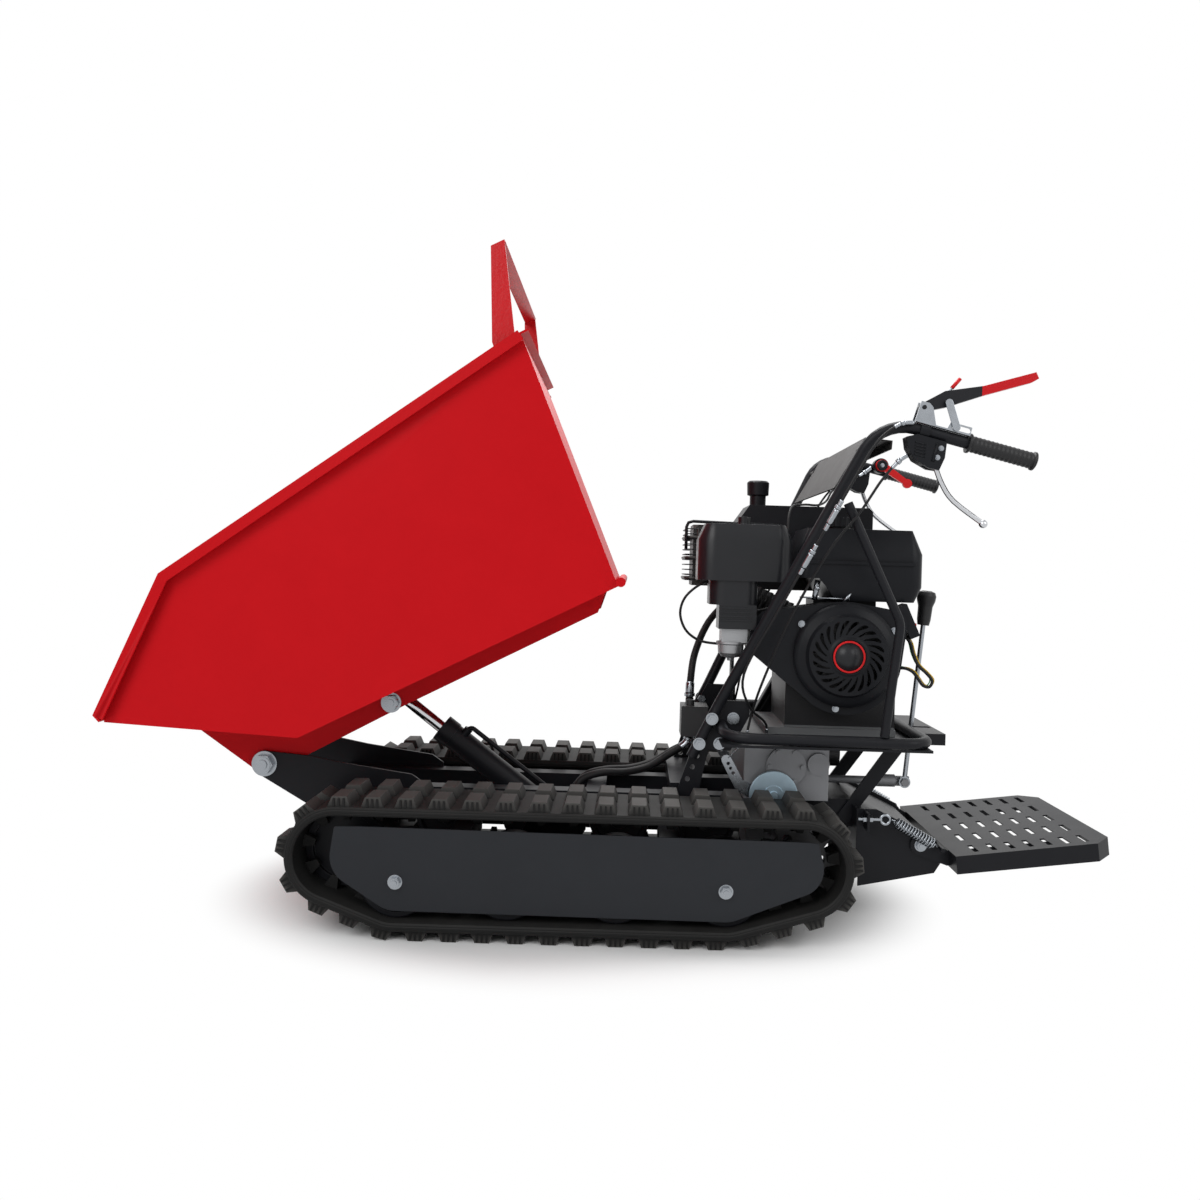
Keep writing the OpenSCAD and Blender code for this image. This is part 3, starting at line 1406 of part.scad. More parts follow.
steer_pivot = [42, -52];
module lever_housings() {
  color([0.07, 0.07, 0.08]) {
    both_sides() on_bar() {
      difference() {
        along_y(-15, 15)
          polygon([[-22, -bar_r - 10], [-4, -bar_r - 0.3], [52, -bar_r - 0.3], [56, -40], [52, -64], [34, -66], [4, -58], [-14, -40]]);
        block([22, -6, -80], [70, 6, -38]);
      }
      y_rod(steer_pivot, 3, -15, 15);
      difference() {
        rotate([0, 90, 0]) cylinder(r = bar_r + 4, h = 18);
        translate([-1, 0, 0]) rotate([0, 90, 0]) cylinder(r = bar_r + 0.2, h = 20);
        block([-1, -20, bar_r - 2], [20, 20, 20]);
      }
    }
    on_bar() {
      y_rod(throttle_pivot, 18, -34, -bar_r - 0.3);
      y_rod(throttle_pivot, 5, -46, -30);
    }
  }
}
throttle_pivot = [70, 8];
module steering_levers(near) {
  color([0.85, 0.86, 0.88])
    on_side(near) on_bar() {
      difference() {
        union() {
          y_rod(steer_pivot, 9, -5.5, 5.5);
          tube_along(smooth([[46, 0, -56], [66, 0, -84], [96, 0, -110], [158, 0, -135]], 4), 5, 10);
        }
        y_rod(steer_pivot, 3 + run_gap, -8, 8);
      }
      translate([160, 0, -136]) sphere(8);
    }
}
module throttle_lever() {
  color([0.75, 0.1, 0.08])
    on_bar()
      along_y(-44, -34.3) difference() {
        union() {
          at(throttle_pivot, 14);
          hull() {
            at(throttle_pivot + [6, -2], 9);
            at(throttle_pivot + [60, -22], 7);
          }
          at(throttle_pivot + [70, -26], 11);
        }
        at(throttle_pivot, 5 + run_gap);
      }
}

chassis_frame();
frame_bolts();
rubber_tracks();
track_frames();
track_covers();
sprocket(true);  // sprocket_near
sprocket(false);  // sprocket_far
idler(true);  // idler_near
idler(false);  // idler_far
road_wheel(true, 1);  // road_wheel_near_1
road_wheel(true, 2);  // road_wheel_near_2
road_wheel(true, 3);  // road_wheel_near_3
road_wheel(true, 4);  // road_wheel_near_4
road_wheel(false, 1);  // road_wheel_far_1
road_wheel(false, 2);  // road_wheel_far_2
road_wheel(false, 3);  // road_wheel_far_3
road_wheel(false, 4);  // road_wheel_far_4
skip();
skip_subframe();
skip_hoop();
piston_rod();
cylinder_barrel();
hydraulic_hoses();
gearbox();
steering_arm(true);  // steering_arm_near
steering_arm(false);  // steering_arm_far
gearbox_pulley();
drive_belt();
belt_cover();
hydraulic_pump();
gear_lever();
gear_knob();
rear_frame();
footplate();
footplate_springs();
handlebar_uprights();
engine_platform();
platform_tube();
handlebars();
handle_grips();
control_panel();
engine_block();
crankshaft();
blower_housing();
recoil_cover();
engine_switch();
fuel_tank();
fuel_cap();
air_cleaner();
carburettor();
muffler();
oil_tank();
control_cables();
clutch_bracket();
clutch_lever();
clutch_link();
lever_housings();
steering_levers(true);  // steering_levers_near
steering_levers(false);  // steering_levers_far
throttle_lever();
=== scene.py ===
"""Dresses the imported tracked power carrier: finishes, tracks, cords, springs and small fittings."""
import math

import bmesh
import bpy
from mathutils import Matrix, Vector


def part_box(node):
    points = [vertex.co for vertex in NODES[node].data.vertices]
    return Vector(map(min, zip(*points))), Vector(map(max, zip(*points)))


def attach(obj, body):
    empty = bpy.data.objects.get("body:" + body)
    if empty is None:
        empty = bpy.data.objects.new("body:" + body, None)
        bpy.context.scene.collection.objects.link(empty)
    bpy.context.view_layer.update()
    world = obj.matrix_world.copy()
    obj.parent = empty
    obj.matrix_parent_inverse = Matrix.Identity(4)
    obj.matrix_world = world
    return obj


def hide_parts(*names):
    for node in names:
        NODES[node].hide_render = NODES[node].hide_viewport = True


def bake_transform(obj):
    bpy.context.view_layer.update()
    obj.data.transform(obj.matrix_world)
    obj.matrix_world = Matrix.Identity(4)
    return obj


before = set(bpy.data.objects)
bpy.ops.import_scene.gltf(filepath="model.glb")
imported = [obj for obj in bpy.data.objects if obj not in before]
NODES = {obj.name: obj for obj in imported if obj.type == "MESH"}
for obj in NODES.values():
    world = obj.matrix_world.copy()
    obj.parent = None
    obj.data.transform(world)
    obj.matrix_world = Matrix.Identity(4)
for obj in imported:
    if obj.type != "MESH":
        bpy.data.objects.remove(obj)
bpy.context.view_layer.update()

bl_info = {
    "name": "Tracked Power Carrier",
    "version": (1, 0, 0),
    "blender": (4, 5, 0),
    "location": "View3D > Sidebar > Carrier",
    "description": "Dresses a tracked carrier with finishes, rubber tracks, cords and fittings",
    "category": "Object",
}

CHASSIS = "chassis"
SKIP = "skip_body"
OUT_NEAR = (0, -1, 0)
SIDES = (("near", -1), ("far", 1))


def middle(node):
    """Centre of a node's box."""
    low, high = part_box(node)
    return (low + high) / 2


def paint(name, about, colour):
    """Colour setting."""
    return bpy.props.FloatVectorProperty(
        name=name, description=about, subtype="COLOR", size=3, default=colour
    )


def span(name, about, value):
    """Length setting."""
    return bpy.props.FloatProperty(name=name, description=about, unit="LENGTH", default=value)


class CarrierColours(bpy.types.PropertyGroup):
    """Base colours of the finishes."""

    red_paint: paint("Red paint", "Skip paint", (0.52, 0.006, 0.010))
    black_paint: paint("Black paint", "Frame paint", (0.0115, 0.0120, 0.0145))
    charcoal_paint: paint("Charcoal paint", "Track cover paint", (0.018, 0.020, 0.024))
    rubber: paint("Rubber", "Track and hose rubber", (0.007, 0.007, 0.007))
    rubber_worn: paint("Worn rubber", "Lug tops and dust", (0.064, 0.062, 0.059))
    plastic: paint("Black plastic", "Engine mouldings", (0.0115, 0.0122, 0.0145))
    casting: paint("Grey casting", "Gearbox casting", (0.28, 0.285, 0.30))
    zinc: paint("Zinc", "Bolts and rods", (0.31, 0.33, 0.355))
    panel: paint("Panel", "Control panel paint", (0.030, 0.028, 0.0275))
    floor: paint("Floor", "Floor and backdrop", (0.93, 0.93, 0.93))


class CarrierSizes(bpy.types.PropertyGroup):
    """Sizes of the pieces that are made here."""

    belt_t: span("Belt thickness", "Thickness of the rubber belt", 0.016)
    lug_h: span("Lug height", "Height of the tread lugs", 0.018)
    lug_base: span("Lug base", "Length of a tread lug at its base", 0.044)
    lug_top: span("Lug top", "Length of a tread lug at its top", 0.027)
    lug_pitch: span("Lug pitch", "Aimed distance from lug to lug", 0.060)
    guide_h: span("Guide height", "Height of the guide lugs", 0.022)
    hose_r: span("Hose radius", "Radius of the hydraulic hoses", 0.008)
    cable_r: span("Cable radius", "Radius of the control cables", 0.0025)
    spring_coils: bpy.props.IntProperty(
        name="Spring coils", description="Coils of a return spring", default=15
    )
    spring_wire: span("Spring wire", "Wire radius of a return spring", 0.0016)


class CarrierStage(bpy.types.PropertyGroup):
    """Camera and light."""

    camera_at: bpy.props.FloatVectorProperty(
        name="Camera", description="Camera place", subtype="XYZ", size=3, default=(0.009, -2.197, 0.695)
    )
    lens: bpy.props.FloatProperty(name="Lens", description="Focal length in millimetres", default=30.83)
    roll: bpy.props.FloatProperty(
        name="Roll", description="Camera roll", subtype="ANGLE", default=-0.030
    )
    shift: bpy.props.FloatVectorProperty(
        name="Shift", description="Camera shift", size=2, default=(-0.0267, -0.0292)
    )
    sky: bpy.props.FloatProperty(name="Sky", description="Strength of the even light", default=0.26)


def colours():
    return bpy.context.scene.carrier_colours


def sizes():
    return bpy.context.scene.carrier_sizes


def stage():
    return bpy.context.scene.carrier_stage


# Nodes

def new_group(name, kind, inputs, outputs):
    """Node group with named sockets, and its input and output nodes."""
    group = bpy.data.node_groups.new(name, kind)
    for title, sort, default in inputs:
        socket = group.interface.new_socket(title, in_out="INPUT", socket_type=f"NodeSocket{sort}")
        if default is not None:
            socket.default_value = default
    for title, sort in outputs:
        group.interface.new_socket(title, in_out="OUTPUT", socket_type=f"NodeSocket{sort}")
    return group, group.nodes.new("NodeGroupInput"), group.nodes.new("NodeGroupOutput")


def feed(tree, socket, value):
    """Links a node's output to an input socket, or sets the input's value."""
    if isinstance(value, bpy.types.NodeSocket):
        tree.links.new(value, socket)
    else:
        socket.default_value = value


def node(tree, kind, **inputs):
    """New node whose inputs, by name, take outputs of other nodes or values."""
    made = tree.nodes.new(kind)
    for name, value in inputs.items():
        feed(tree, made.inputs[name.replace("_", " ")], value)
    return made


def maths(tree, operation, *terms):
    """Output of a maths node on sockets and numbers."""
    made = tree.nodes.new("ShaderNodeMath")
    made.operation = operation
    for socket, term in zip(made.inputs, terms):
        feed(tree, socket, term)
    return made.outputs[0]


def colour_mix(tree, share, low, high):
    """Output of a mix of two colours by a share."""
    made = tree.nodes.new("ShaderNodeMix")
    made.data_type = "RGBA"
    for index, value in ((0, share), (6, low), (7, high)):
        feed(tree, made.inputs[index], value)
    return made.outputs[2]


def grain_group():
    """Fine grain: a height for bump and a slow mask for colour and roughness."""
    if "fine grain" in bpy.data.node_groups:
        return bpy.data.node_groups["fine grain"]
    group, start, end = new_group(
        "fine grain", "ShaderNodeTree",
        [("Grain Scale", "Float", 900.0), ("Mottle Scale", "Float", 14.0)],
        [("Height", "Float"), ("Mottle", "Float")],
    )
    place = group.nodes.new("ShaderNodeTexCoord").outputs["Object"]
    noises = (("Grain Scale", 3.0, 0.55, "Height"), ("Mottle Scale", 5.0, 0.6, "Mottle"))
    for scale, detail, roughness, title in noises:
        noise = node(
            group, "ShaderNodeTexNoise", Vector=place, Scale=start.outputs[scale], Detail=detail,
            Roughness=roughness,
        )
        group.links.new(noise.outputs["Fac"], end.inputs[title])
    return group


def dust_group():
    """Dust: a mask that gathers on faces that look up and in slow patches."""
    if "settled dust" in bpy.data.node_groups:
        return bpy.data.node_groups["settled dust"]
    group, start, end = new_group(
        "settled dust", "ShaderNodeTree",
        [("Amount", "Float", 0.3), ("Patch Scale", "Float", 25.0)],
        [("Mask", "Float")],
    )
    place = group.nodes.new("ShaderNodeTexCoord").outputs["Object"]
    facing = group.nodes.new("ShaderNodeNewGeometry").outputs["Normal"]
    split = node(group, "ShaderNodeSeparateXYZ", Vector=facing)
    upward = node(group, "ShaderNodeMapRange", Value=split.outputs["Z"], From_Min=-0.2, From_Max=1.0)
    patches = node(
        group, "ShaderNodeTexNoise", Vector=place, Scale=start.outputs["Patch Scale"], Detail=6.0,
        Roughness=0.65,
    )
    both = maths(group, "MULTIPLY", upward.outputs[0], patches.outputs["Fac"])
    mask = maths(group, "MULTIPLY", both, start.outputs["Amount"])
    mask.node.use_clamp = True
    group.links.new(mask, end.inputs["Mask"])
    return group


def finish(name, colour, roughness, metallic=0.0, grain=900.0, bump=0.05, depth=0.0004, mottle=14.0,
           spread=0.06, vary=0.12, shine=0.18, dust=0.0, dust_colour=(0.12, 0.11, 0.10)):
    """Principled material with grain, mottled colour and roughness, and settled dust."""
    if name in bpy.data.materials:
        return bpy.data.materials[name]
    made = bpy.data.materials.new(name)
    made.use_nodes = True
    tree = made.node_tree
    shader = tree.nodes["Principled BSDF"]
    shader.inputs["Metallic"].default_value = metallic
    shader.inputs["Specular IOR Level"].default_value = shine
    grained = tree.nodes.new("ShaderNodeGroup")
    grained.node_tree = grain_group()
    grained.inputs["Grain Scale"].default_value = grain
    grained.inputs["Mottle Scale"].default_value = mottle
    mottled = grained.outputs["Mottle"]
    low = [*(c * (1 - vary) for c in colour), 1]
    high = [*(min(1.0, c * (1 + vary)) for c in colour), 1]
    out = colour_mix(tree, mottled, low, high)
    if dust:
        dusted = tree.nodes.new("ShaderNodeGroup")
        dusted.node_tree = dust_group()
        dusted.inputs["Amount"].default_value = dust
        out = colour_mix(tree, dusted.outputs["Mask"], out, [*dust_colour, 1])
    least = max(0.02, roughness - spread)
    rough = node(tree, "ShaderNodeMapRange", Value=mottled, To_Min=least, To_Max=roughness + spread)
    raised = node(
        tree, "ShaderNodeBump", Strength=bump, Distance=depth, Height=grained.outputs["Height"]
    )
    link = tree.links.new
    link(out, shader.inputs["Base Color"])
    link(rough.outputs[0], shader.inputs["Roughness"])
    link(raised.outputs["Normal"], shader.inputs["Normal"])
    return made


def red_paint():
    return finish(
        "gloss red paint", colours().red_paint, 0.38, grain=420, bump=0.10, depth=0.0005, vary=0.05,
        shine=0.06,
    )


def hammered_red():
    return finish(
        "hammered red paint", colours().red_paint, 0.30, grain=150, bump=0.35, depth=0.0012, vary=0.05
    )


def black_paint():
    return finish(
        "satin black paint", colours().black_paint, 0.38, grain=700, bump=0.12, shine=0.12, dust=0.05
    )


def charcoal_paint():
    return finish("charcoal cover paint", colours().charcoal_paint, 0.42, grain=800, bump=0.10, dust=0.08)


def zinc():
    return finish("bright zinc", colours().zinc, 0.26, metallic=1.0, grain=600, mottle=60, spread=0.1)


def blue_zinc():
    return finish(
        "blue zinc plate", (0.44, 0.57, 0.66), 0.32, metallic=0.55, grain=600, bump=0.04, mottle=40,
        spread=0.08,
    )


def chrome():
    return finish("hard chrome", (0.56, 0.57, 0.59), 0.10, metallic=1.0, grain=1500, bump=0.02, spread=0.04)


def casting():
    return finish(
        "grey casting", colours().casting, 0.48, metallic=0.25, grain=480, bump=0.35, depth=0.0008, dust=0.25
    )


def alloy():
    return finish(
        "cast alloy", (0.30, 0.305, 0.315), 0.42, metallic=0.8, grain=520, bump=0.3, depth=0.0007, mottle=30
    )


def dark_iron():
    return finish(
        "dark iron", (0.06, 0.06, 0.062), 0.5, metallic=0.7, grain=400, bump=0.3, depth=0.0007, dust=0.3
    )


def plastic():
    return finish(
        "grained black plastic", colours().plastic, 0.34, grain=1500, bump=0.16, depth=0.0003, shine=0.10,
        dust=0.03,
    )


def gloss_plastic():
    return finish("smooth black plastic", colours().plastic, 0.30, shine=0.26, dust=0.02)


def grip_rubber():
    return finish("grip rubber", (0.012, 0.012, 0.013), 0.45, grain=1100, bump=0.25, depth=0.0003, shine=0.3)


def red_plastic():
    return finish("red plastic", (0.60, 0.012, 0.014), 0.30, bump=0.08)


def heat_steel():
    return finish(
        "heat darkened steel", (0.050, 0.048, 0.046), 0.45, metallic=0.85, grain=500, bump=0.2, mottle=22,
        vary=0.3,
    )


def panel_paint():
    return finish("panel paint", colours().panel, 0.45, grain=700, bump=0.12, shine=0.08, dust=0.08)


def hose_rubber():
    return finish("hose rubber", (0.012, 0.012, 0.013), 0.5, grain=1400, bump=0.2, depth=0.0003, dust=0.08)


def cover_colour(material, mask, colour):
    """Lays a colour over a material's base colour where a mask is 1."""
    tree = material.node_tree
    base = tree.nodes["Principled BSDF"].inputs["Base Color"]
    tree.links.new(colour_mix(tree, mask, base.links[0].from_socket, [*colour, 1]), base)


def track_rubber():
    """Track rubber: dark flanks, brown-grey worn lug tops taken from the wear attribute, and dust."""
    name = "track rubber"
    if name in bpy.data.materials:
        return bpy.data.materials[name]
    made = finish(name, colours().rubber, 0.62, grain=650, bump=0.3, depth=0.0006, dust=0.35,
                  dust_colour=colours().rubber_worn, vary=0.25)
    worn = made.node_tree.nodes.new("ShaderNodeAttribute")
    worn.attribute_name = "wear"
    cover_colour(made, worn.outputs["Fac"], colours().rubber_worn)
    return made


def place_mask(material, axis, side, limit):
    """Mask that is 1 on one side of a place along an axis."""
    tree = material.node_tree
    place = tree.nodes.new("ShaderNodeTexCoord").outputs["Object"]
    split = node(tree, "ShaderNodeSeparateXYZ", Vector=place)
    return maths(tree, side, split.outputs[axis], limit)


SLEEVE_X = 0.642
CRANKCASE_TOP = 0.378


def lever_paint():
    """Black lever paint with a red dipped sleeve from a place along the lever."""
    name = "dipped lever paint"
    if name in bpy.data.materials:
        return bpy.data.materials[name]
    made = finish(name, colours().black_paint, 0.32, grain=900, bump=0.08)
    cover_colour(made, place_mask(made, "X", "GREATER_THAN", SLEEVE_X), colours().red_paint)
    return made


def engine_finish():
    """Black engine paint over a bare alloy crankcase foot."""
    name = "black engine paint"
    if name in bpy.data.materials:
        return bpy.data.materials[name]
    made = finish(name, (0.022, 0.022, 0.024), 0.42, grain=520, bump=0.3, depth=0.0007, dust=0.25)
    cover_colour(made, place_mask(made, "Z", "LESS_THAN", CRANKCASE_TOP), (0.15, 0.155, 0.16))
    return made


# Mesh helpers

WELD = 1e-6
FLAT_WITHIN = math.radians(0.4)
SHARP_FROM = math.radians(35)
BEVEL_SEGMENTS = 2
TURNED_SIDES = 48
ROUTE_STEPS = 6
WASHER_WIDER = 1.25
WASHER_THICKNESS = 0.22


def linked(name, data):
    """New object of that data in the scene."""
    made = bpy.data.objects.new(name, data)
    bpy.context.scene.collection.objects.link(made)
    return made


def mesh_object(name, points, faces, material, smooth=True):
    """New object from points and faces, with its normals turned outwards."""
    mesh = bpy.data.meshes.new(name)
    mesh.from_pydata([tuple(p) for p in points], [], faces)
    shape = bmesh.new()
    shape.from_mesh(mesh)
    bmesh.ops.remove_doubles(shape, verts=shape.verts, dist=WELD)
    bmesh.ops.recalc_face_normals(shape, faces=shape.faces)
    shape.to_mesh(mesh)
    shape.free()
    mesh.polygons.foreach_set("use_smooth", [smooth] * len(mesh.polygons))
    mesh.materials.append(material)
    return linked(name, mesh)


def edge_smoothing():
    """Geometry group that shades smooth, but for edges sharper than an angle."""
    if "smooth by edge angle" in bpy.data.node_groups:
        return bpy.data.node_groups["smooth by edge angle"]
    group, start, end = new_group(
        "smooth by edge angle", "GeometryNodeTree",
        [("Geometry", "Geometry", None), ("Angle", "Float", 0.6)],
        [("Geometry", "Geometry")],
    )
    geometry = start.outputs["Geometry"]
    plain = node(group, "GeometryNodeRemoveAttribute", Geometry=geometry, Name="custom_normal")
    faces = node(group, "GeometryNodeSetShadeSmooth", Geometry=plain.outputs[0], Shade_Smooth=True)
    faces.domain = "FACE"
    angle = group.nodes.new("GeometryNodeInputMeshEdgeAngle").outputs["Unsigned Angle"]
    sharp = node(group, "FunctionNodeCompare", A=angle, B=start.outputs["Angle"])
    sharp.operation = "GREATER_THAN"
    edges = node(
        group, "GeometryNodeSetShadeSmooth", Geometry=faces.outputs[0], Selection=sharp.outputs[0],
        Shade_Smooth=False,
    )
    edges.domain = "EDGE"
    group.links.new(edges.outputs[0], end.inputs[0])
    return group


def round_edges(obj, width):
    """Welds and bevels the sharp edges and shades the rest smooth."""
    weld = obj.modifiers.new("weld", "WELD")
    weld.merge_threshold = WELD
    flat = obj.modifiers.new("flat faces", "DECIMATE")
    flat.decimate_type = "DISSOLVE"
    flat.angle_limit = FLAT_WITHIN
    if width:
        edge = obj.modifiers.new("edges", "BEVEL")
        edge.width = width
        edge.segments = BEVEL_SEGMENTS
        edge.limit_method = "ANGLE"
        edge.angle_limit = SHARP_FROM
        edge.use_clamp_overlap = True
    shade = obj.modifiers.new("shading", "NODES")
    shade.node_group = edge_smoothing()
    flatter = obj.modifiers.new("flat normals", "WEIGHTED_NORMAL")
    flatter.keep_sharp = True


def dress(name, material, width):
    """Gives a carried-over node its finish and rounded edges."""
    obj = NODES[name]
    obj.data.materials.clear()
    obj.data.materials.append(material)
    round_edges(obj, width)


def plain_mesh(obj, name):
    """Turns an object with modifiers into a plain mesh object of that name."""
    shown = obj.evaluated_get(bpy.context.evaluated_depsgraph_get())
    mesh = bpy.data.meshes.new_from_object(shown)
    mesh.name = name
    bpy.data.objects.remove(obj)
    return linked(name, mesh)


def settle(obj, body, slot, *replaced):
    """Rides on a body and stands for the nodes it replaces; the slot is not used."""
    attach(obj, body)
    if replaced:
        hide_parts(*replaced)
    return obj


def smooth_route(points, steps):
    """Points on a smooth curve through the given ones."""
    points = [Vector(p) for p in points]
    route = []
    for i in range(len(points) - 1):
        a = points[max(i - 1, 0)]
        b = points[i]
        c = points[i + 1]
        d = points[min(i + 2, len(points) - 1)]
        for k in range(steps):
            t = k / steps
            bend = (2 * a - 5 * b + 4 * c - d) * t**2 + (3 * b - a - 3 * c + d) * t**3
            route.append(0.5 * (2 * b + (c - a) * t + bend))
    return route + [points[-1]]


def cord_curve(name, points, radius, material):
    """Round cord as a curve of one open spline."""
    curve = bpy.data.curves.new(name, "CURVE")
    curve.dimensions = "3D"
    curve.bevel_depth = radius
    curve.bevel_resolution = 4
    curve.use_fill_caps = True
    line = curve.splines.new("POLY")
    line.points.add(len(points) - 1)
    for spot, p in zip(line.points, points):
        spot.co = (*p, 1)
    line.use_smooth = True
    curve.materials.append(material)
    return linked(name, curve)


def route_length(points):
    return sum((b - a).length for a, b in zip(points, points[1:]))


def lay_cord(name, line, radius, material, stiffness, lay, *stands_for):
    """Cord along a route, riding on the chassis."""
    cord = settle(cord_curve(name, line, radius, material), CHASSIS, "hose_rubber", *stands_for)


def tube_faces(rings, sides):
    """Faces between rings of points, with closed ends."""
    faces = [tuple(range(sides)), tuple(range((rings - 1) * sides, rings * sides))]
    for i in range(rings - 1):
        for k in range(sides):
            a = i * sides + k
            b = i * sides + (k + 1) % sides
            faces.append((a, b, b + sides, a + sides))
    return faces


def tube_mesh(name, points, radius, material, sides=12):
    """Mesh tube along points, with closed ends."""
    verts = []
    normal = Vector((0, 0, 1))
    for i, p in enumerate(points):
        way = (points[min(i + 1, len(points) - 1)] - points[max(i - 1, 0)]).normalized()
        if i == 0 and abs(way.z) > 0.8:
            normal = Vector((1, 0, 0))
        normal = (normal - normal.dot(way) * way).normalized()
        side = way.cross(normal)
        for k in range(sides):
            a = 2 * math.pi * k / sides
            verts.append(p + radius * (math.cos(a) * normal + math.sin(a) * side))
    return mesh_object(name, verts, tube_faces(len(points), sides), material)


def lathe(name, profile, place, axis, material):
    """Turned piece: profile of (radius, height) along an axis from a place."""
    turn = Vector((0, 0, 1)).rotation_difference(Vector(axis)).to_matrix()
    verts = []
    for r, h in profile:
        for k in range(TURNED_SIDES):
            a = 2 * math.pi * k / TURNED_SIDES
            verts.append(Vector(place) + turn @ Vector((r * math.cos(a), r * math.sin(a), h)))
    return mesh_object(name, verts, tube_faces(len(profile), TURNED_SIDES), material)


def joined(name, parts):
    """One object from several mesh objects with the same material."""
    shape = bmesh.new()
    for part in parts:
        shape.from_mesh(part.data)
    mesh = bpy.data.meshes.new(name)
    shape.to_mesh(mesh)
    shape.free()
    mesh.materials.append(parts[0].data.materials[0])
    for part in parts:
        bpy.data.objects.remove(part)
    return linked(name, mesh)


# Repeated pieces

def send_painted(group, start, end, geometry):
    """Makes instances real, gives them the material input and sends them out."""
    real = node(group, "GeometryNodeRealizeInstances", Geometry=geometry)
    material = start.outputs["Material"]
    painted = node(group, "GeometryNodeSetMaterial", Geometry=real.outputs[0], Material=material)
    group.links.new(painted.outputs[0], end.inputs[0])


def bolt_tree():
    """Geometry group that puts a hex head, a washer and a stud end on each point."""
    if "bolt heads" in bpy.data.node_groups:
        return bpy.data.node_groups["bolt heads"]
    group, start, end = new_group(
        "bolt heads", "GeometryNodeTree",
        [
            ("Geometry", "Geometry", None), ("Head Radius", "Float", 0.009), ("Head Height", "Float", 0.006),
            ("Washer Radius", "Float", 0.011), ("Washer Height", "Float", 0.0015), ("Turn", "Rotation", None),
            ("Material", "Material", None),
        ],
        [("Geometry", "Geometry")],
    )

    def disc(sides, radius, height, lift):
        """Cylinder whose foot stands at a height."""
        made = node(group, "GeometryNodeMeshCylinder", Vertices=sides, Radius=radius, Depth=height)
        at = node(group, "ShaderNodeCombineXYZ", Z=maths(group, "MULTIPLY_ADD", height, 0.5, lift))
        moved = node(group, "GeometryNodeTransform", Geometry=made.outputs[0], Translation=at.outputs[0])
        return moved.outputs[0]

    def times(socket, factor):
        return maths(group, "MULTIPLY", socket, factor)

    head_r = start.outputs["Head Radius"]
    head_h = start.outputs["Head Height"]
    washer_h = start.outputs["Washer Height"]
    top = maths(group, "ADD", head_h, washer_h)
    one = group.nodes.new("GeometryNodeJoinGeometry")
    for part in (
        disc(28, start.outputs["Washer Radius"], washer_h, 0.0),
        disc(6, head_r, head_h, washer_h),
        disc(24, times(head_r, 0.80), times(head_h, 0.12), top),
        disc(18, times(head_r, 0.50), times(head_h, 0.35), top),
    ):
        group.links.new(part, one.inputs[0])
    spread = node(
        group, "GeometryNodeInstanceOnPoints", Points=start.outputs["Geometry"], Instance=one.outputs[0],
        Rotation=start.outputs["Turn"],
    )
    send_painted(group, start, end, spread.outputs[0])
    return group


def modifier_inputs(modifier, **values):
    """Sets a node modifier's inputs by the identifiers of its sockets."""
    for item in modifier.node_group.interface.items_tree:
        if item.item_type == "SOCKET" and item.in_out == "INPUT":
            key = item.name.replace(" ", "_").lower()
            if key in values:
                modifier[item.identifier] = values[key]


def bolts(name, places, axis, radius, height, body):
    """Bolt heads with washers on places, standing along an axis."""
    mesh = bpy.data.meshes.new(name)
    mesh.from_pydata([tuple(p) for p in places], [], [])
    obj = linked(name, mesh)
    turn = Vector((0, 0, 1)).rotation_difference(Vector(axis)).to_euler()
    spread = obj.modifiers.new("bolts", "NODES")
    spread.node_group = bolt_tree()
    modifier_inputs(
        spread, head_radius=radius, head_height=height, washer_radius=radius * WASHER_WIDER,
        washer_height=height * WASHER_THICKNESS, turn=turn, material=zinc(),
    )
    return settle(plain_mesh(obj, name), body, "bolt_zinc")


def row_tree():
    """Geometry group that repeats a piece along a step."""
    if "repeated pieces" in bpy.data.node_groups:
        return bpy.data.node_groups["repeated pieces"]
    group, start, end = new_group(
        "repeated pieces", "GeometryNodeTree",
        [
            ("Geometry", "Geometry", None), ("Count", "Int", 5), ("Step", "Vector", (0.0, 0.0, 0.01)),
            ("Material", "Material", None),
        ],
        [("Geometry", "Geometry")],
    )
    count = start.outputs["Count"]
    line = node(group, "GeometryNodeMeshLine", Count=count, Offset=start.outputs["Step"])
    line.mode = "OFFSET"
    piece = start.outputs["Geometry"]
    spread = node(group, "GeometryNodeInstanceOnPoints", Points=line.outputs[0], Instance=piece)
    send_painted(group, start, end, spread.outputs[0])
    return group


def row(obj, count, step, body, slot):
    """Repeats a piece along a step and settles it on a body."""
    spread = obj.modifiers.new("row", "NODES")
    spread.node_group = row_tree()
    modifier_inputs(spread, count=count, step=tuple(step), material=obj.data.materials[0])
    return settle(plain_mesh(obj, obj.name), body, slot)


# Operators

# Lamps: name, place, target, size and power
LAMPS = (
    ("top", (0.0, 0.6, 3.4), (0.0, 0.0, 0.0), 1.7, 88),
    ("key", (-1.6, -2.8, 2.4), (0.0, 0.0, 0.5), 2.0, 52),
    ("fill", (2.6, -2.2, 2.0), (0.2, 0.0, 0.5), 1.8, 30),
    ("back", (0.6, 2.8, 2.8), (0.0, 0.0, 0.6), 2.4, 24),
)
SENSOR_WIDTH = 36
WHITE = (1, 1, 1, 1)
FLOOR_HALF = 40.0
SHADOW_MIDDLE = -0.09
SHADOW_HALF = (0.52, 0.38)
FADE_FROM = 1.0
FADE_TO = 1.5


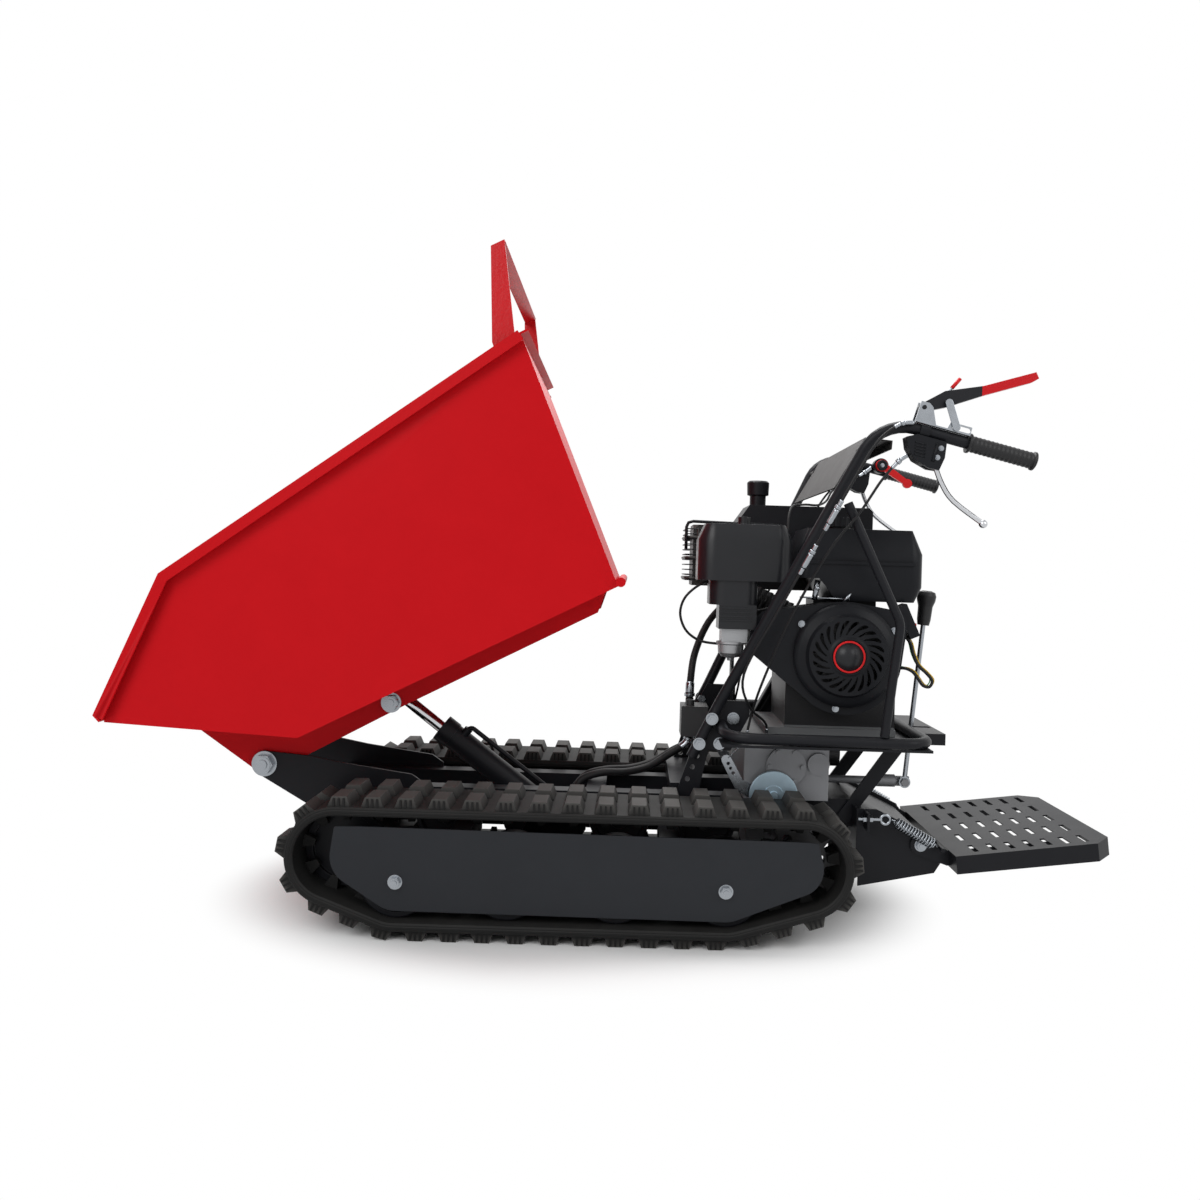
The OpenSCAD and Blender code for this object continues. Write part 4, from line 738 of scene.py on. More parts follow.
class CARRIER_OT_stage(bpy.types.Operator):
    """Makes the camera, the lamps and the floor with its backdrop"""

    bl_idname = "carrier.stage"
    bl_label = "Stage"

    def execute(self, context):
        settings = stage()
        scene = context.scene
        scene.view_settings.view_transform = "Standard"
        data = bpy.data.cameras.new("camera")
        data.lens = settings.lens
        data.sensor_width = SENSOR_WIDTH
        data.shift_x, data.shift_y = settings.shift
        camera = linked("camera", data)
        camera.location = settings.camera_at
        camera.rotation_euler = (math.pi / 2, settings.roll, 0)
        scene.camera = camera
        self.light(scene, settings.sky)
        for lamp in LAMPS:
            self.lamp(*lamp)
        self.floor()
        return {"FINISHED"}

    def light(self, scene, strength):
        """Even world light; camera and mirror rays see a white backdrop."""
        world = bpy.data.worlds.new("even light")
        world.use_nodes = True
        tree = world.node_tree
        back = tree.nodes["Background"]
        back.inputs["Color"].default_value = WHITE
        back.inputs["Strength"].default_value = strength
        seen = node(tree, "ShaderNodeBackground", Color=WHITE, Strength=1.0)
        self.blend(tree, self.straight(tree), back, seen, "World Output")
        scene.world = world

    def blend(self, tree, mask, low, high, target):
        """Sends a mix of two shaders to the output node."""
        either = tree.nodes.new("ShaderNodeMixShader")
        link = tree.links.new
        link(mask, either.inputs[0])
        link(low.outputs[0], either.inputs[1])
        link(high.outputs[0], either.inputs[2])
        link(either.outputs[0], tree.nodes[target].inputs["Surface"])

    def straight(self, tree):
        """Mask of the rays that show the backdrop: from the camera, a mirror or glass."""
        ray = tree.nodes.new("ShaderNodeLightPath")
        mask = ray.outputs["Is Camera Ray"]
        for kind in ("Is Glossy Ray", "Is Transmission Ray"):
            mask = maths(tree, "MAXIMUM", mask, ray.outputs[kind])
        return mask

    def lamp(self, name, place, target, size, power):
        """Square lamp that faces a target."""
        data = bpy.data.lights.new(name, "AREA")
        data.size = size
        data.energy = power
        lamp = linked(name, data)
        lamp.location = place
        lamp.rotation_euler = (Vector(target) - Vector(place)).to_track_quat("-Z", "Y").to_euler()

    def floor(self):
        """Pale floor that the camera sees fade into the white backdrop away from the tracks."""
        paper = finish("backdrop paper", colours().floor, 0.9, grain=40, bump=0.0, vary=0.004)
        tree = paper.node_tree
        place = tree.nodes.new("ShaderNodeTexCoord").outputs["Object"]
        half_x, half_y = SHADOW_HALF
        at = (-SHADOW_MIDDLE / half_x, 0, 0)
        scale = (1 / half_x, 1 / half_y, 1)
        spread = node(tree, "ShaderNodeMapping", Vector=place, Location=at, Scale=scale)
        reach = node(tree, "ShaderNodeVectorMath", Vector=spread.outputs[0])
        reach.operation = "LENGTH"
        away = reach.outputs["Value"]
        fade = node(tree, "ShaderNodeMapRange", Value=away, From_Min=FADE_FROM, From_Max=FADE_TO)
        fade.interpolation_type = "SMOOTHSTEP"
        glow = node(tree, "ShaderNodeEmission", Color=WHITE)
        shown = maths(tree, "MULTIPLY", fade.outputs[0], self.straight(tree))
        self.blend(tree, shown, tree.nodes["Principled BSDF"], glow, "Material Output")
        corners = [(x, y, 0) for x, y in ((-1, -1), (1, -1), (1, 1), (-1, 1))]
        mesh_object("floor", [FLOOR_HALF * Vector(c) for c in corners], [(0, 1, 2, 3)], paper)


HOSES = {
    "hose_lift": [
        (-0.1331, -0.011, 0.1991), (-0.1223, -0.011, 0.1910), (-0.099, -0.011, 0.208),
        (-0.084, -0.009, 0.236), (-0.042, 0.003, 0.249), (0.010, 0.024, 0.248), (0.060, 0.044, 0.258),
        (0.104, 0.056, 0.284), (0.138, 0.060, 0.306), (0.146, 0.060, 0.325),
    ],
    "hose_lower": [
        (-0.1218, 0.011, 0.1851), (-0.1129, 0.011, 0.1970), (-0.092, 0.016, 0.224), (-0.072, 0.020, 0.242),
        (-0.030, 0.036, 0.250), (0.020, 0.058, 0.250), (0.070, 0.080, 0.262), (0.112, 0.092, 0.286),
        (0.150, 0.094, 0.306), (0.160, 0.094, 0.325),
    ],
    "hose_tank": [
        (0.146, 0.094, 0.403), (0.147, 0.097, 0.440), (0.158, 0.140, 0.500), (0.190, 0.174, 0.570),
        (0.240, 0.181, 0.626), (0.262, 0.180, 0.650),
    ],
    "hose_pump": [
        (0.446, 0.075, 0.325), (0.445, 0.075, 0.338), (0.425, 0.075, 0.345), (0.330, 0.075, 0.345),
        (0.250, 0.075, 0.345), (0.190, 0.075, 0.345),
    ],
}
STEER_ROUTE = [
    (0.5131, 0.304, 0.9134), (0.496, 0.303, 0.902), (0.466, 0.298, 0.866), (0.430, 0.287, 0.806),
    (0.378, 0.262, 0.730), (0.318, 0.226, 0.606), (0.276, 0.184, 0.486), (0.258, 0.153, 0.416),
    (0.247, 0.151, 0.366), (0.240, 0.146, 0.349), (0.234, 0.142, 0.338),
]
CABLES = {
    "cable_steer_far": STEER_ROUTE,
    "cable_steer_near": [(x, -y, z) for x, y, z in STEER_ROUTE],
    "cable_clutch": [
        (0.518, -0.320, 0.970), (0.490, -0.322, 0.966), (0.452, -0.324, 0.936), (0.418, -0.316, 0.876),
        (0.352, -0.284, 0.744), (0.284, -0.246, 0.606), (0.232, -0.206, 0.490), (0.248, -0.170, 0.424),
        (0.286, -0.130, 0.386), (0.292, -0.118, 0.356), (0.298, -0.112, 0.3358),
    ],
    "cable_throttle": [
        (0.581, 0.282, 0.949), (0.556, 0.282, 0.930), (0.512, 0.268, 0.906), (0.476, 0.226, 0.884),
        (0.452, 0.170, 0.856), (0.420, 0.100, 0.841), (0.380, 0.050, 0.838), (0.344, -0.008, 0.826),
        (0.333, -0.042, 0.770), (0.333, -0.058, 0.680), (0.322, -0.060, 0.630), (0.288, -0.068, 0.612),
        (0.250, -0.084, 0.606), (0.228, -0.104, 0.604), (0.222, -0.1105, 0.602),
    ],
}


class CARRIER_OT_cords(bpy.types.Operator):
    """Makes the hydraulic hoses and the control cables"""

    bl_idname = "carrier.cords"
    bl_label = "Hoses and cables"

    def execute(self, context):
        for routes, stands_for, radius, stiffness in (
            (HOSES, "hydraulic_hoses", sizes().hose_r, "stiff"),
            (CABLES, "control_cables", sizes().cable_r, "medium"),
        ):
            for name, points in routes.items():
                line = smooth_route(points, ROUTE_STEPS)
                lay_cord(name, line, radius, hose_rubber(), stiffness, "taut", stands_for)
        return {"FINISHED"}


class CARRIER_OT_finishes(bpy.types.Operator):
    """Gives the carried-over solids their finishes and rounded edges"""

    bl_idname = "carrier.finishes"
    bl_label = "Finishes"

    def execute(self, context):
        wheels = [n for n in NODES if n.startswith(("road_wheel", "idler"))]
        looks = [
            (red_paint, 0.0012, ["skip", "skip_subframe"]),
            (hammered_red, 0.0012, ["skip_hoop"]),
            (black_paint, 0.002, ["chassis_frame", "rear_frame", "handlebar_uprights", "engine_platform"]),
            (black_paint, 0.002, ["belt_cover"]),
            (black_paint, 0.0, ["platform_tube", "handlebars"]),
            (black_paint, 0.001, ["track_frames", "cylinder_barrel", "footplate"]),
            (black_paint, 0.0015, wheels),
            (charcoal_paint, 0.0008, ["track_covers"]),
            (zinc, 0.0006, ["frame_bolts", "gear_lever", "clutch_bracket", "clutch_link"]),
            (zinc, 0.0006, ["steering_arm_near", "steering_arm_far"]),
            (chrome, 0.0006, ["piston_rod", "steering_levers_near", "steering_levers_far"]),
            (casting, 0.003, ["gearbox"]),
            (engine_finish, 0.0015, ["engine_block"]),
            (alloy, 0.0015, ["carburettor"]),
            (dark_iron, 0.001, ["hydraulic_pump", "sprocket_near", "sprocket_far"]),
            (dark_iron, 0.001, ["gearbox_pulley", "crankshaft"]),
            (plastic, 0.003, ["blower_housing", "lever_housings"]),
            (plastic, 0.0015, ["recoil_cover", "fuel_cap"]),
            (gloss_plastic, 0.004, ["air_cleaner"]),
            (plastic, 0.004, ["fuel_tank"]),
            (black_paint, 0.003, ["oil_tank"]),
            (heat_steel, 0.0, ["muffler"]),
            (grip_rubber, 0.0006, ["handle_grips", "gear_knob"]),
            (hose_rubber, 0.0, ["drive_belt"]),
            (panel_paint, 0.0008, ["control_panel"]),
            (lever_paint, 0.0012, ["clutch_lever"]),
            (red_plastic, 0.0012, ["throttle_lever", "engine_switch"]),
        ]
        for look, width, names in looks:
            for name in names:
                dress(name, look(), width)
        return {"FINISHED"}


TRACK_WHEELS = (
    (-0.515, 0.150, 0.075), (-0.406, 0.104, 0.070), (0.198, 0.104, 0.070), (0.338, 0.150, 0.075),
)
TRACK_Y = 0.250
TRACK_HALF = 0.090
TREAD_Y = (0.014, 0.084)
PAD_INSET = 0.006
GUIDE_Y = (0.015, 0.029)
GUIDE_HALF = (0.013, 0.006)
RIB_Y = (0.081, 0.0856)
RIB_HALF = (0.0024, 0.0016)
RIB_AT = (-0.009, 0.0, 0.009)
LUG_ROUNDING = 0.0016
WEAR_DEPTH = 0.0012
BELT_EDGE = 0.003
BELT_RIB = 0.0008


def belt_route(offset):
    """Places and outward ways on the closed belt line, offset outwards from the wheels."""
    angles = []
    for i, (x, z, r) in enumerate(TRACK_WHEELS):
        next_x, next_z, next_r = TRACK_WHEELS[(i + 1) % len(TRACK_WHEELS)]
        run = Vector((next_x - x, next_z - z))
        angles.append(math.atan2(run.y, run.x) - math.acos((r - next_r) / run.length))
    route = []
    for i, (x, z, r) in enumerate(TRACK_WHEELS):
        start = angles[i - 1]
        sweep = (angles[i] - start) % (2 * math.pi)
        count = max(2, round(sweep / math.radians(5)))
        for k in range(count + 1):
            a = start + sweep * k / count
            out = Vector((math.cos(a), 0, math.sin(a)))
            route.append((Vector((x, 0, z)) + (r + offset) * out, out))
    return route


def tread_tree():
    """Geometry group that sets lugs along a route and joins them to the belt."""
    group, start, end = new_group(
        "tread", "GeometryNodeTree",
        [
            ("Geometry", "Geometry", None), ("Route", "Object", None), ("Lug", "Object", None),
            ("Count", "Int", 40), ("Material", "Material", None),
        ],
        [("Geometry", "Geometry")],
    )
    route = node(group, "GeometryNodeObjectInfo", Object=start.outputs["Route"]).outputs["Geometry"]
    lug = node(group, "GeometryNodeObjectInfo", Object=start.outputs["Lug"]).outputs["Geometry"]
    along = node(group, "GeometryNodeCurveToPoints", Curve=route, Count=start.outputs["Count"])
    along.mode = "COUNT"
    split = node(group, "ShaderNodeSeparateXYZ", Vector=along.outputs["Tangent"])
    down = maths(group, "MULTIPLY", split.outputs["Z"], -1.0)
    turn = node(group, "ShaderNodeCombineXYZ", Y=maths(group, "ARCTAN2", down, split.outputs["X"]))
    euler = node(group, "FunctionNodeEulerToRotation", Euler=turn.outputs[0])
    spread = node(
        group, "GeometryNodeInstanceOnPoints", Points=along.outputs["Points"], Instance=lug,
        Rotation=euler.outputs[0],
    )
    both = group.nodes.new("GeometryNodeJoinGeometry")
    for piece in (spread.outputs[0], start.outputs["Geometry"]):
        group.links.new(piece, both.inputs[0])
    send_painted(group, start, end, both.outputs[0])
    return group


def frustum(shape, x_base, x_top, y0, y1, draft, z0, z1, at=0.0):
    """Block with sloped flanks, narrowing from z0 to z1."""
    corners = []
    for x, inset, z in ((x_base, 0, z0), (x_top, draft, z1)):
        corners.append([
            shape.verts.new((at + sx * x, y, z))
            for sx, y in ((-1, y0 + inset), (1, y0 + inset), (1, y1 - inset), (-1, y1 - inset))
        ])
    low, high = corners
    for k in range(4):
        shape.faces.new((low[k], low[(k + 1) % 4], high[(k + 1) % 4], high[k]))
    shape.faces.new(low)
    shape.faces.new(high)


class CARRIER_OT_tracks(bpy.types.Operator):
    """Makes both rubber tracks: belt, tread lugs with worn tops and guide lugs"""

    bl_idname = "carrier.tracks"
    bl_label = "Rubber tracks"

    def execute(self, context):
        size = sizes()
        mid = size.belt_t / 2
        middle_line = belt_route(mid)
        length = route_length([p for p, _ in middle_line + middle_line[:1]])
        curve = bpy.data.curves.new("track route", "CURVE")
        curve.dimensions = "3D"
        line = curve.splines.new("POLY")
        line.points.add(len(middle_line) - 1)
        for spot, (p, _) in zip(line.points, reversed(middle_line)):
            spot.co = (*p, 1)
        line.use_cyclic_u = True
        route = linked("track route", curve)
        lug = self.lug(size)
        belt = self.belt(size)
        tread = belt.modifiers.new("tread", "NODES")
        tread.node_group = tread_tree()
        count = round(length / size.lug_pitch)
        modifier_inputs(tread, route=route, lug=lug, count=count, material=track_rubber())
        track = plain_mesh(belt, "track_far")
        bpy.data.objects.remove(lug)
        bpy.data.objects.remove(route)
        other = track.data.copy()
        track.data.transform(Matrix.Translation((0, TRACK_Y, 0)))
        other.transform(Matrix.Translation((0, -TRACK_Y, 0)))
        for obj in (track, linked("track_near", other)):
            settle(obj, CHASSIS, "track_rubber", "rubber_tracks")
        return {"FINISHED"}

    def lug(self, size):
        """One pitch of the track: two tread lugs outside and two guide lugs inside."""
        mid = size.belt_t / 2
        top = mid + size.lug_h
        shape = bmesh.new()
        half_base = size.lug_base / 2
        half = size.lug_top / 2
        for side in (-1, 1):
            y0, y1 = sorted(side * y for y in TREAD_Y)
            frustum(shape, half_base, half, y0, y1, 0.003, mid - 0.0035, top)
            y0 += PAD_INSET
            y1 -= PAD_INSET
            frustum(shape, half - 0.002, half - 0.004, y0, y1, 0.001, top - 0.001, top - 0.0001)
            y0, y1 = sorted(side * y for y in GUIDE_Y)
            frustum(shape, *GUIDE_HALF, y0, y1, 0.002, 0.001 - mid, -mid - size.guide_h)
        bmesh.ops.bevel(
            shape, geom=shape.edges[:], offset=LUG_ROUNDING, segments=2, affect="EDGES", profile=0.6,
            clamp_overlap=True,
        )
        for side in (-1, 1):
            y0, y1 = sorted(side * y for y in RIB_Y)
            for at in RIB_AT:
                frustum(shape, *RIB_HALF, y0, y1, 0.0012, mid - 0.003, top - 0.0025, at)
        bmesh.ops.recalc_face_normals(shape, faces=shape.faces)
        mesh = bpy.data.meshes.new("lug")
        shape.to_mesh(mesh)
        shape.free()
        worn = mesh.attributes.new("wear", "FLOAT", "POINT")
        for i, v in enumerate(mesh.vertices):
            worn.data[i].value = 1.0 if v.co.z > top - WEAR_DEPTH else 0.0
        return linked("lug", mesh)

    def belt(self, size):
        """Closed belt with rounded edges and a rib along each side."""
        t = size.belt_t
        w = TRACK_HALF
        e = BELT_EDGE
        flank = w - BELT_RIB
        mid = t / 2
        half = [
            (w - e, 0), (flank, e), (flank, mid - e), (w, mid - e / 2), (w, mid + e / 2), (flank, mid + e),
            (flank, t - e), (w - e, t),
        ]
        section = [(-w + e, 0), *half, *((-y, o) for y, o in reversed(half[1:]))]
        route = belt_route(0.0)
        n = len(section)
        verts = [p + out * o + Vector((0, y, 0)) for p, out in route for y, o in section]
        faces = []
        for i in range(len(route)):
            j = (i + 1) % len(route)
            for k in range(n):
                m = (k + 1) % n
                faces.append((i * n + k, j * n + k, j * n + m, i * n + m))
        return mesh_object("belt", verts, faces, track_rubber(), smooth=False)


SPRING_FROM = Vector((0.5335, 0, 0.210))
SPRING_TO = Vector((0.6255, 0, 0.1594))
SPRING_Y = 0.178
SPRING_R = 0.010
SPRING_END = 0.007
COIL_STEPS = 18
COIL_LEAST = 0.15


class CARRIER_OT_springs(bpy.types.Operator):
    """Makes the two extension springs of the footplate"""

    bl_idname = "carrier.springs"
    bl_label = "Footplate springs"

    def execute(self, context):
        for name, y in (("spring_near", -SPRING_Y), ("spring_far", SPRING_Y)):
            self.spring(name, Vector((0, y, 0)))
        return {"FINISHED"}

    def spring(self, name, place):
        """Close coil between two straight ends, stretched between frame and footplate."""
        start = SPRING_FROM + place
        end = SPRING_TO + place
        way = (end - start).normalized()
        side = Vector((0, 1, 0))
        up = way.cross(side)
        coil_from = start + way * SPRING_END
        coil_way = (end - start) - 2 * SPRING_END * way
        steps = sizes().spring_coils * COIL_STEPS
        points = [start]
        for k in range(steps + 1):
            a = 2 * math.pi * k / COIL_STEPS
            ease = min(1.0, k / COIL_STEPS, (steps - k) / COIL_STEPS)
            r = SPRING_R * (COIL_LEAST + (1 - COIL_LEAST) * ease)
            out = math.cos(a) * up + math.sin(a) * side
            points.append(coil_from + coil_way * k / steps + r * out)
        points.append(end)
        wire = tube_mesh(name, points, sizes().spring_wire, zinc(), 8)
        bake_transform(wire)
        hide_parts("footplate_springs")


CRANK = Vector((0.436, 0, 0.529))
BLOWER_FACE = -0.165
RECOIL_DEPTH = 0.038
RECOIL_SLOTS = 22
RECOIL_BOLTS_R = 0.107
RECOIL_BOLTS_AT = (0.50, 2.55, 4.55)
COVER_T = 0.003
SLOT_LEAN = math.radians(22)
SLOT_FROM = 0.0425
SLOT_LENGTH = 0.0275
SLOT_SHARE = 0.27


class CARRIER_OT_recoil(bpy.types.Operator):
    """Makes the recoil cover with its curved slots, plain badge and bolts"""

    bl_idname = "carrier.recoil"
    bl_label = "Recoil cover"

    def execute(self, context):
        settle(self.cover(), CHASSIS, "engine_black", "recoil_cover")
        place = CRANK + Vector((0, BLOWER_FACE - RECOIL_DEPTH, 0))
        badge = [(0.0, 0.0008), (0.0275, 0.0008), (0.0275, -0.001)]
        disc = lathe("recoil_badge", badge, place, OUT_NEAR, gloss_plastic())
        settle(disc, CHASSIS, "engine_black")
        rim = [(0.0275, 0.0), (0.0278, 0.0012), (0.0295, 0.0016), (0.0312, 0.0012), (0.0315, -0.001)]
        ring = lathe("recoil_ring", rim, place, OUT_NEAR, red_plastic())
        settle(ring, CHASSIS, "lever_red")
        spots = [CRANK + RECOIL_BOLTS_R * Vector((math.cos(a), 0, math.sin(a))) for a in RECOIL_BOLTS_AT]
        spots = [p + Vector((0, BLOWER_FACE - COVER_T, 0)) for p in spots]
        bolts("recoil_bolts", spots, OUT_NEAR, 0.0055, 0.006, CHASSIS)
        return {"FINISHED"}

    def cover(self):
        """Domed cover: a polar grid whose lines run along the slots, with the slot faces left out."""
        rows = [
            (0.1030, 0.0000), (0.1030, 0.0080), (0.0980, 0.0140), (0.0930, 0.0158), (0.0880, 0.0178),
            (0.0820, 0.0200), (0.0800, 0.0235), (0.0770, 0.0300), (0.0740, 0.0304), (0.0700, 0.0309),
            (0.0685, 0.0311), (0.0660, 0.0315), (0.0630, 0.0319), (0.0590, 0.0324), (0.0550, 0.0329),
            (0.0510, 0.0335), (0.0470, 0.0340), (0.0440, 0.0344), (0.0425, 0.0346), (0.0410, 0.0348),
            (0.0390, 0.0352), (0.0350, 0.0380), (0.0335, 0.0380), (0.0320, 0.0366), (0.0100, 0.0366),
        ]
        first, last = 9, 18
        cuts = 4
        sector = 2 * math.pi / RECOIL_SLOTS
        shares = [0.30, 0.80, 1.0, 1.0, 0.90, 0.75, 0.62, 0.52, 0.42, 0.25]
        verts = []
        for i, (r, h) in enumerate(rows):
            share = shares[min(max(i - first, 0), len(shares) - 1)]
            half = SLOT_SHARE * share * sector
            lean = -SLOT_LEAN * min(1.0, (r - SLOT_FROM) / SLOT_LENGTH)
            for s in range(RECOIL_SLOTS):
                for k in range(2 * cuts):
                    if k < cuts:
                        a = -half + 2 * half * k / cuts
                    else:
                        a = half + (sector - 2 * half) * (k - cuts) / cuts
                    turn = s * sector + lean + a
                    verts.append(CRANK + Vector((r * math.cos(turn), BLOWER_FACE - h, r * math.sin(turn))))
        around = RECOIL_SLOTS * 2 * cuts
        faces = []
        for i in range(len(rows) - 1):
            for k in range(around):
                if first <= i < last and k % (2 * cuts) < cuts:
                    continue
                m = (k + 1) % around
                faces.append((i * around + k, i * around + m, (i + 1) * around + m, (i + 1) * around + k))
        faces.append(tuple(range((len(rows) - 1) * around, len(rows) * around)))
        cover = mesh_object("recoil_face", verts, faces, plastic())
        thick = cover.modifiers.new("thickness", "SOLIDIFY")
        thick.thickness = COVER_T
        thick.offset = -1
        round_edges(cover, 0.0005)
        return plain_mesh(cover, "recoil_face")


HINGE = Vector((-0.724, 0, 0.270))
SKIP_TILT = math.radians(27)
ROD_PIN = (0.283, 0.002)
FRAME_BOLTS = (
    ("cover_bolts", 0.322, ((-0.406, 0.104), (0.198, 0.104)), 0.0108, 0.0078),
    ("tube_bolts", 0.1683, ((0.152, 0.346), (0.176, 0.396)), 0.0098, 0.0075),
    ("upright_bolts", 0.146, ((0.194, 0.344), (0.220, 0.395)), 0.0098, 0.0078),
    ("step_bolt", 0.1613, ((0.597, 0.157),), 0.0098, 0.0058),
)


def on_skip(u, v, y):
    """Place in the skip's own frame, along its floor and square to it from the hinge."""
    c = math.cos(SKIP_TILT)
    s = math.sin(SKIP_TILT)
    return HINGE + Vector((u * c - v * s, y, u * s + v * c))


class CARRIER_OT_bolts(bpy.types.Operator):
    """Sets washers, heads and stud ends on the hinges, pins, covers, tubes and uprights"""

    bl_idname = "carrier.bolts"
    bl_label = "Bolts"

    def execute(self, context):
        for tag, side in SIDES:
            way = (0, side, 0)
            bolts(f"hinge_bolt_{tag}", [HINGE + Vector((0, side * 0.112, 0))], way, 0.0205, 0.0118, CHASSIS)
            bolts(f"pin_bolt_{tag}", [on_skip(*ROD_PIN, side * 0.104)], way, 0.0165, 0.0088, SKIP)
            for name, y, spots, radius, height in FRAME_BOLTS:
                places = [(x, side * y, z) for x, z in spots]
                bolts(f"{name}_{tag}", places, way, radius, height, CHASSIS)
        return {"FINISHED"}


def route_piece(points, a, b):
    """Points on a route between two distances from its start."""
    marks = [0.0]
    for p, q in zip(points, points[1:]):
        marks.append(marks[-1] + (q - p).length)
    piece = []
    for k in range(ROUTE_STEPS + 1):
        d = a + (b - a) * k / ROUTE_STEPS
        i = max(j for j in range(len(points) - 1) if marks[j] <= d)
        share = (d - marks[i]) / (marks[i + 1] - marks[i])
        piece.append(points[i].lerp(points[i + 1], share))
    return piece


# Stretches of a turned end: from, to, radius (or share of the hose's radius and sides)
CRIMP = ((0.004, 0.011, 1.45, 6), (0.011, 0.034, 1.22, 16))
CABLE_END = ((0.002, 0.020, 0.0042), (0.020, 0.026, 0.0055), (0.026, 0.040, 0.0036))
ADJUSTER = (
    (0.0, 0.012, 0.0042), (0.012, 0.018, 0.0065), (0.018, 0.050, 0.0055), (0.050, 0.064, 0.0042),
)
ADJUSTERS_AT = (0.205, 0.300)


class CARRIER_OT_ferrules(bpy.types.Operator):
    """Makes the crimped hose ends, the cable ends and the cable adjusters"""

    bl_idname = "carrier.ferrules"
    bl_label = "Hose and cable ends"

    def execute(self, context):
        parts = []
        for points in HOSES.values():
            line = smooth_route(points, ROUTE_STEPS)
            whole = route_length(line)
            for a, b, share, sides in CRIMP:
                r = sizes().hose_r * share
                parts.append(tube_mesh("crimp", route_piece(line, a, b), r, zinc(), sides))
                parts.append(tube_mesh("crimp", route_piece(line, whole - b, whole - a), r, zinc(), sides))
        for name, points in CABLES.items():
            line = smooth_route(points, ROUTE_STEPS)
            whole = route_length(line)
            for a, b, r in CABLE_END:
                parts.append(tube_mesh("end", route_piece(line, a, b), r, zinc()))
                parts.append(tube_mesh("end", route_piece(line, whole - b, whole - a), r * 0.8, zinc()))
            if name == "cable_clutch":
                for at in ADJUSTERS_AT:
                    for a, b, r in ADJUSTER:
                        parts.append(tube_mesh("adjuster", route_piece(line, at + a, at + b), r, zinc()))
        settle(joined("ferrules", parts), CHASSIS, "bolt_zinc")
        return {"FINISHED"}


HARNESS = [
    (0.556, -0.138, 0.572), (0.570, -0.140, 0.556), (0.577, -0.142, 0.532), (0.587, -0.144, 0.511),
    (0.603, -0.146, 0.496), (0.614, -0.147, 0.482), (0.609, -0.148, 0.470), (0.596, -0.148, 0.472),
    (0.585, -0.148, 0.486), (0.574, -0.147, 0.499), (0.558, -0.143, 0.505), (0.538, -0.136, 0.502),
]


class CARRIER_OT_harness(bpy.types.Operator):
    """Makes the looped switch wires: a black sheath with a yellow and a green wire"""

    bl_idname = "carrier.harness"
    bl_label = "Switch wires"

    def execute(self, context):
        looks = (
            ("wire_sheath", 0.0030, (0, 0, 0), hose_rubber()),
            ("wire_yellow", 0.0011, (0.0042, 0.002, 0.002), finish("yellow wire", (0.65, 0.42, 0.02), 0.4)),
            ("wire_green", 0.0011, (-0.0040, 0.002, 0.003), finish("green wire", (0.03, 0.22, 0.06), 0.4)),
        )
        for name, radius, shift, material in looks:
            line = smooth_route([Vector(p) + Vector(shift) for p in HARNESS], 8)
            lay_cord(name, line, radius, material, "limp", "loose")
        return {"FINISHED"}


IGNITION = [
    (0.236, -0.040, 0.645), (0.205, -0.075, 0.668), (0.172, -0.100, 0.668), (0.145, -0.102, 0.657),
    (0.119, -0.102, 0.632), (0.110, -0.102, 0.601), (0.119, -0.102, 0.571), (0.138, -0.102, 0.552),
    (0.165, -0.102, 0.542), (0.215, -0.102, 0.540), (0.262, -0.104, 0.545),
]
LEAD_R = 0.0026
LATCH = [(0.572, 1.016), (0.579, 1.027), (0.588, 1.038), (0.603, 1.056)]
LATCH_ROD_R = 0.0022
LATCH_TIP_R = 0.0036


class CARRIER_OT_lead(bpy.types.Operator):
    """Makes the ignition lead beside the air cleaner"""

    bl_idname = "carrier.lead"
    bl_label = "Ignition lead"

    def execute(self, context):
        line = smooth_route(IGNITION, ROUTE_STEPS)
        lay_cord("ignition_lead", line, LEAD_R, hose_rubber(), "medium", "loose")
        return {"FINISHED"}


class CARRIER_OT_latch(bpy.types.Operator):
    """Makes the small red-tipped latch lever on the clutch lever"""

    bl_idname = "carrier.latch"
    bl_label = "Latch lever"

    def execute(self, context):
        y = middle("clutch_lever").y
        line = [Vector((x, y, z)) for x, z in LATCH]
        settle(tube_mesh("latch_rod", line, LATCH_ROD_R, zinc()), "clutch_body", "bolt_zinc")
        settle(tube_mesh("latch_tip", line[2:], LATCH_TIP_R, red_plastic()), "clutch_body", "lever_red")
        return {"FINISHED"}


# Rods of the governor linkage: ends and radius of rod, pivot, lever and stop
GOVERNOR = (
    ((0.345, -0.150, 0.641), (0.444, -0.150, 0.640), 0.0016),
    ((0.379, -0.156, 0.660), (0.379, -0.140, 0.660), 0.0050),
    ((0.374, -0.149, 0.636), (0.380, -0.149, 0.676), 0.0058),
    ((0.432, -0.152, 0.634), (0.446, -0.152, 0.652), 0.0034),
)
STEER_WIRE = ((0.234, 0.142, 0.338), (0.2125, 0.1350, 0.3130))
STEER_WIRE_R = 0.0012


class CARRIER_OT_linkage(bpy.types.Operator):
    """Makes the governor lever with its rod and the inner wires of the steering cables"""

    bl_idname = "carrier.linkage"
    bl_label = "Governor linkage"

    def execute(self, context):
        parts = [tube_mesh("rod", [Vector(p), Vector(q)], r, zinc()) for p, q, r in GOVERNOR]
        settle(joined("governor_linkage", parts), CHASSIS, "bolt_zinc")
        for tag, side in SIDES:
            start, end = (Vector((x, side * y, z)) for x, y, z in STEER_WIRE)
            line = [start.lerp(end, k / 6) for k in range(7)]
            wire = tube_mesh(f"steer_wire_{tag}", line, STEER_WIRE_R, zinc(), 8)
            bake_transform(wire)
        return {"FINISHED"}


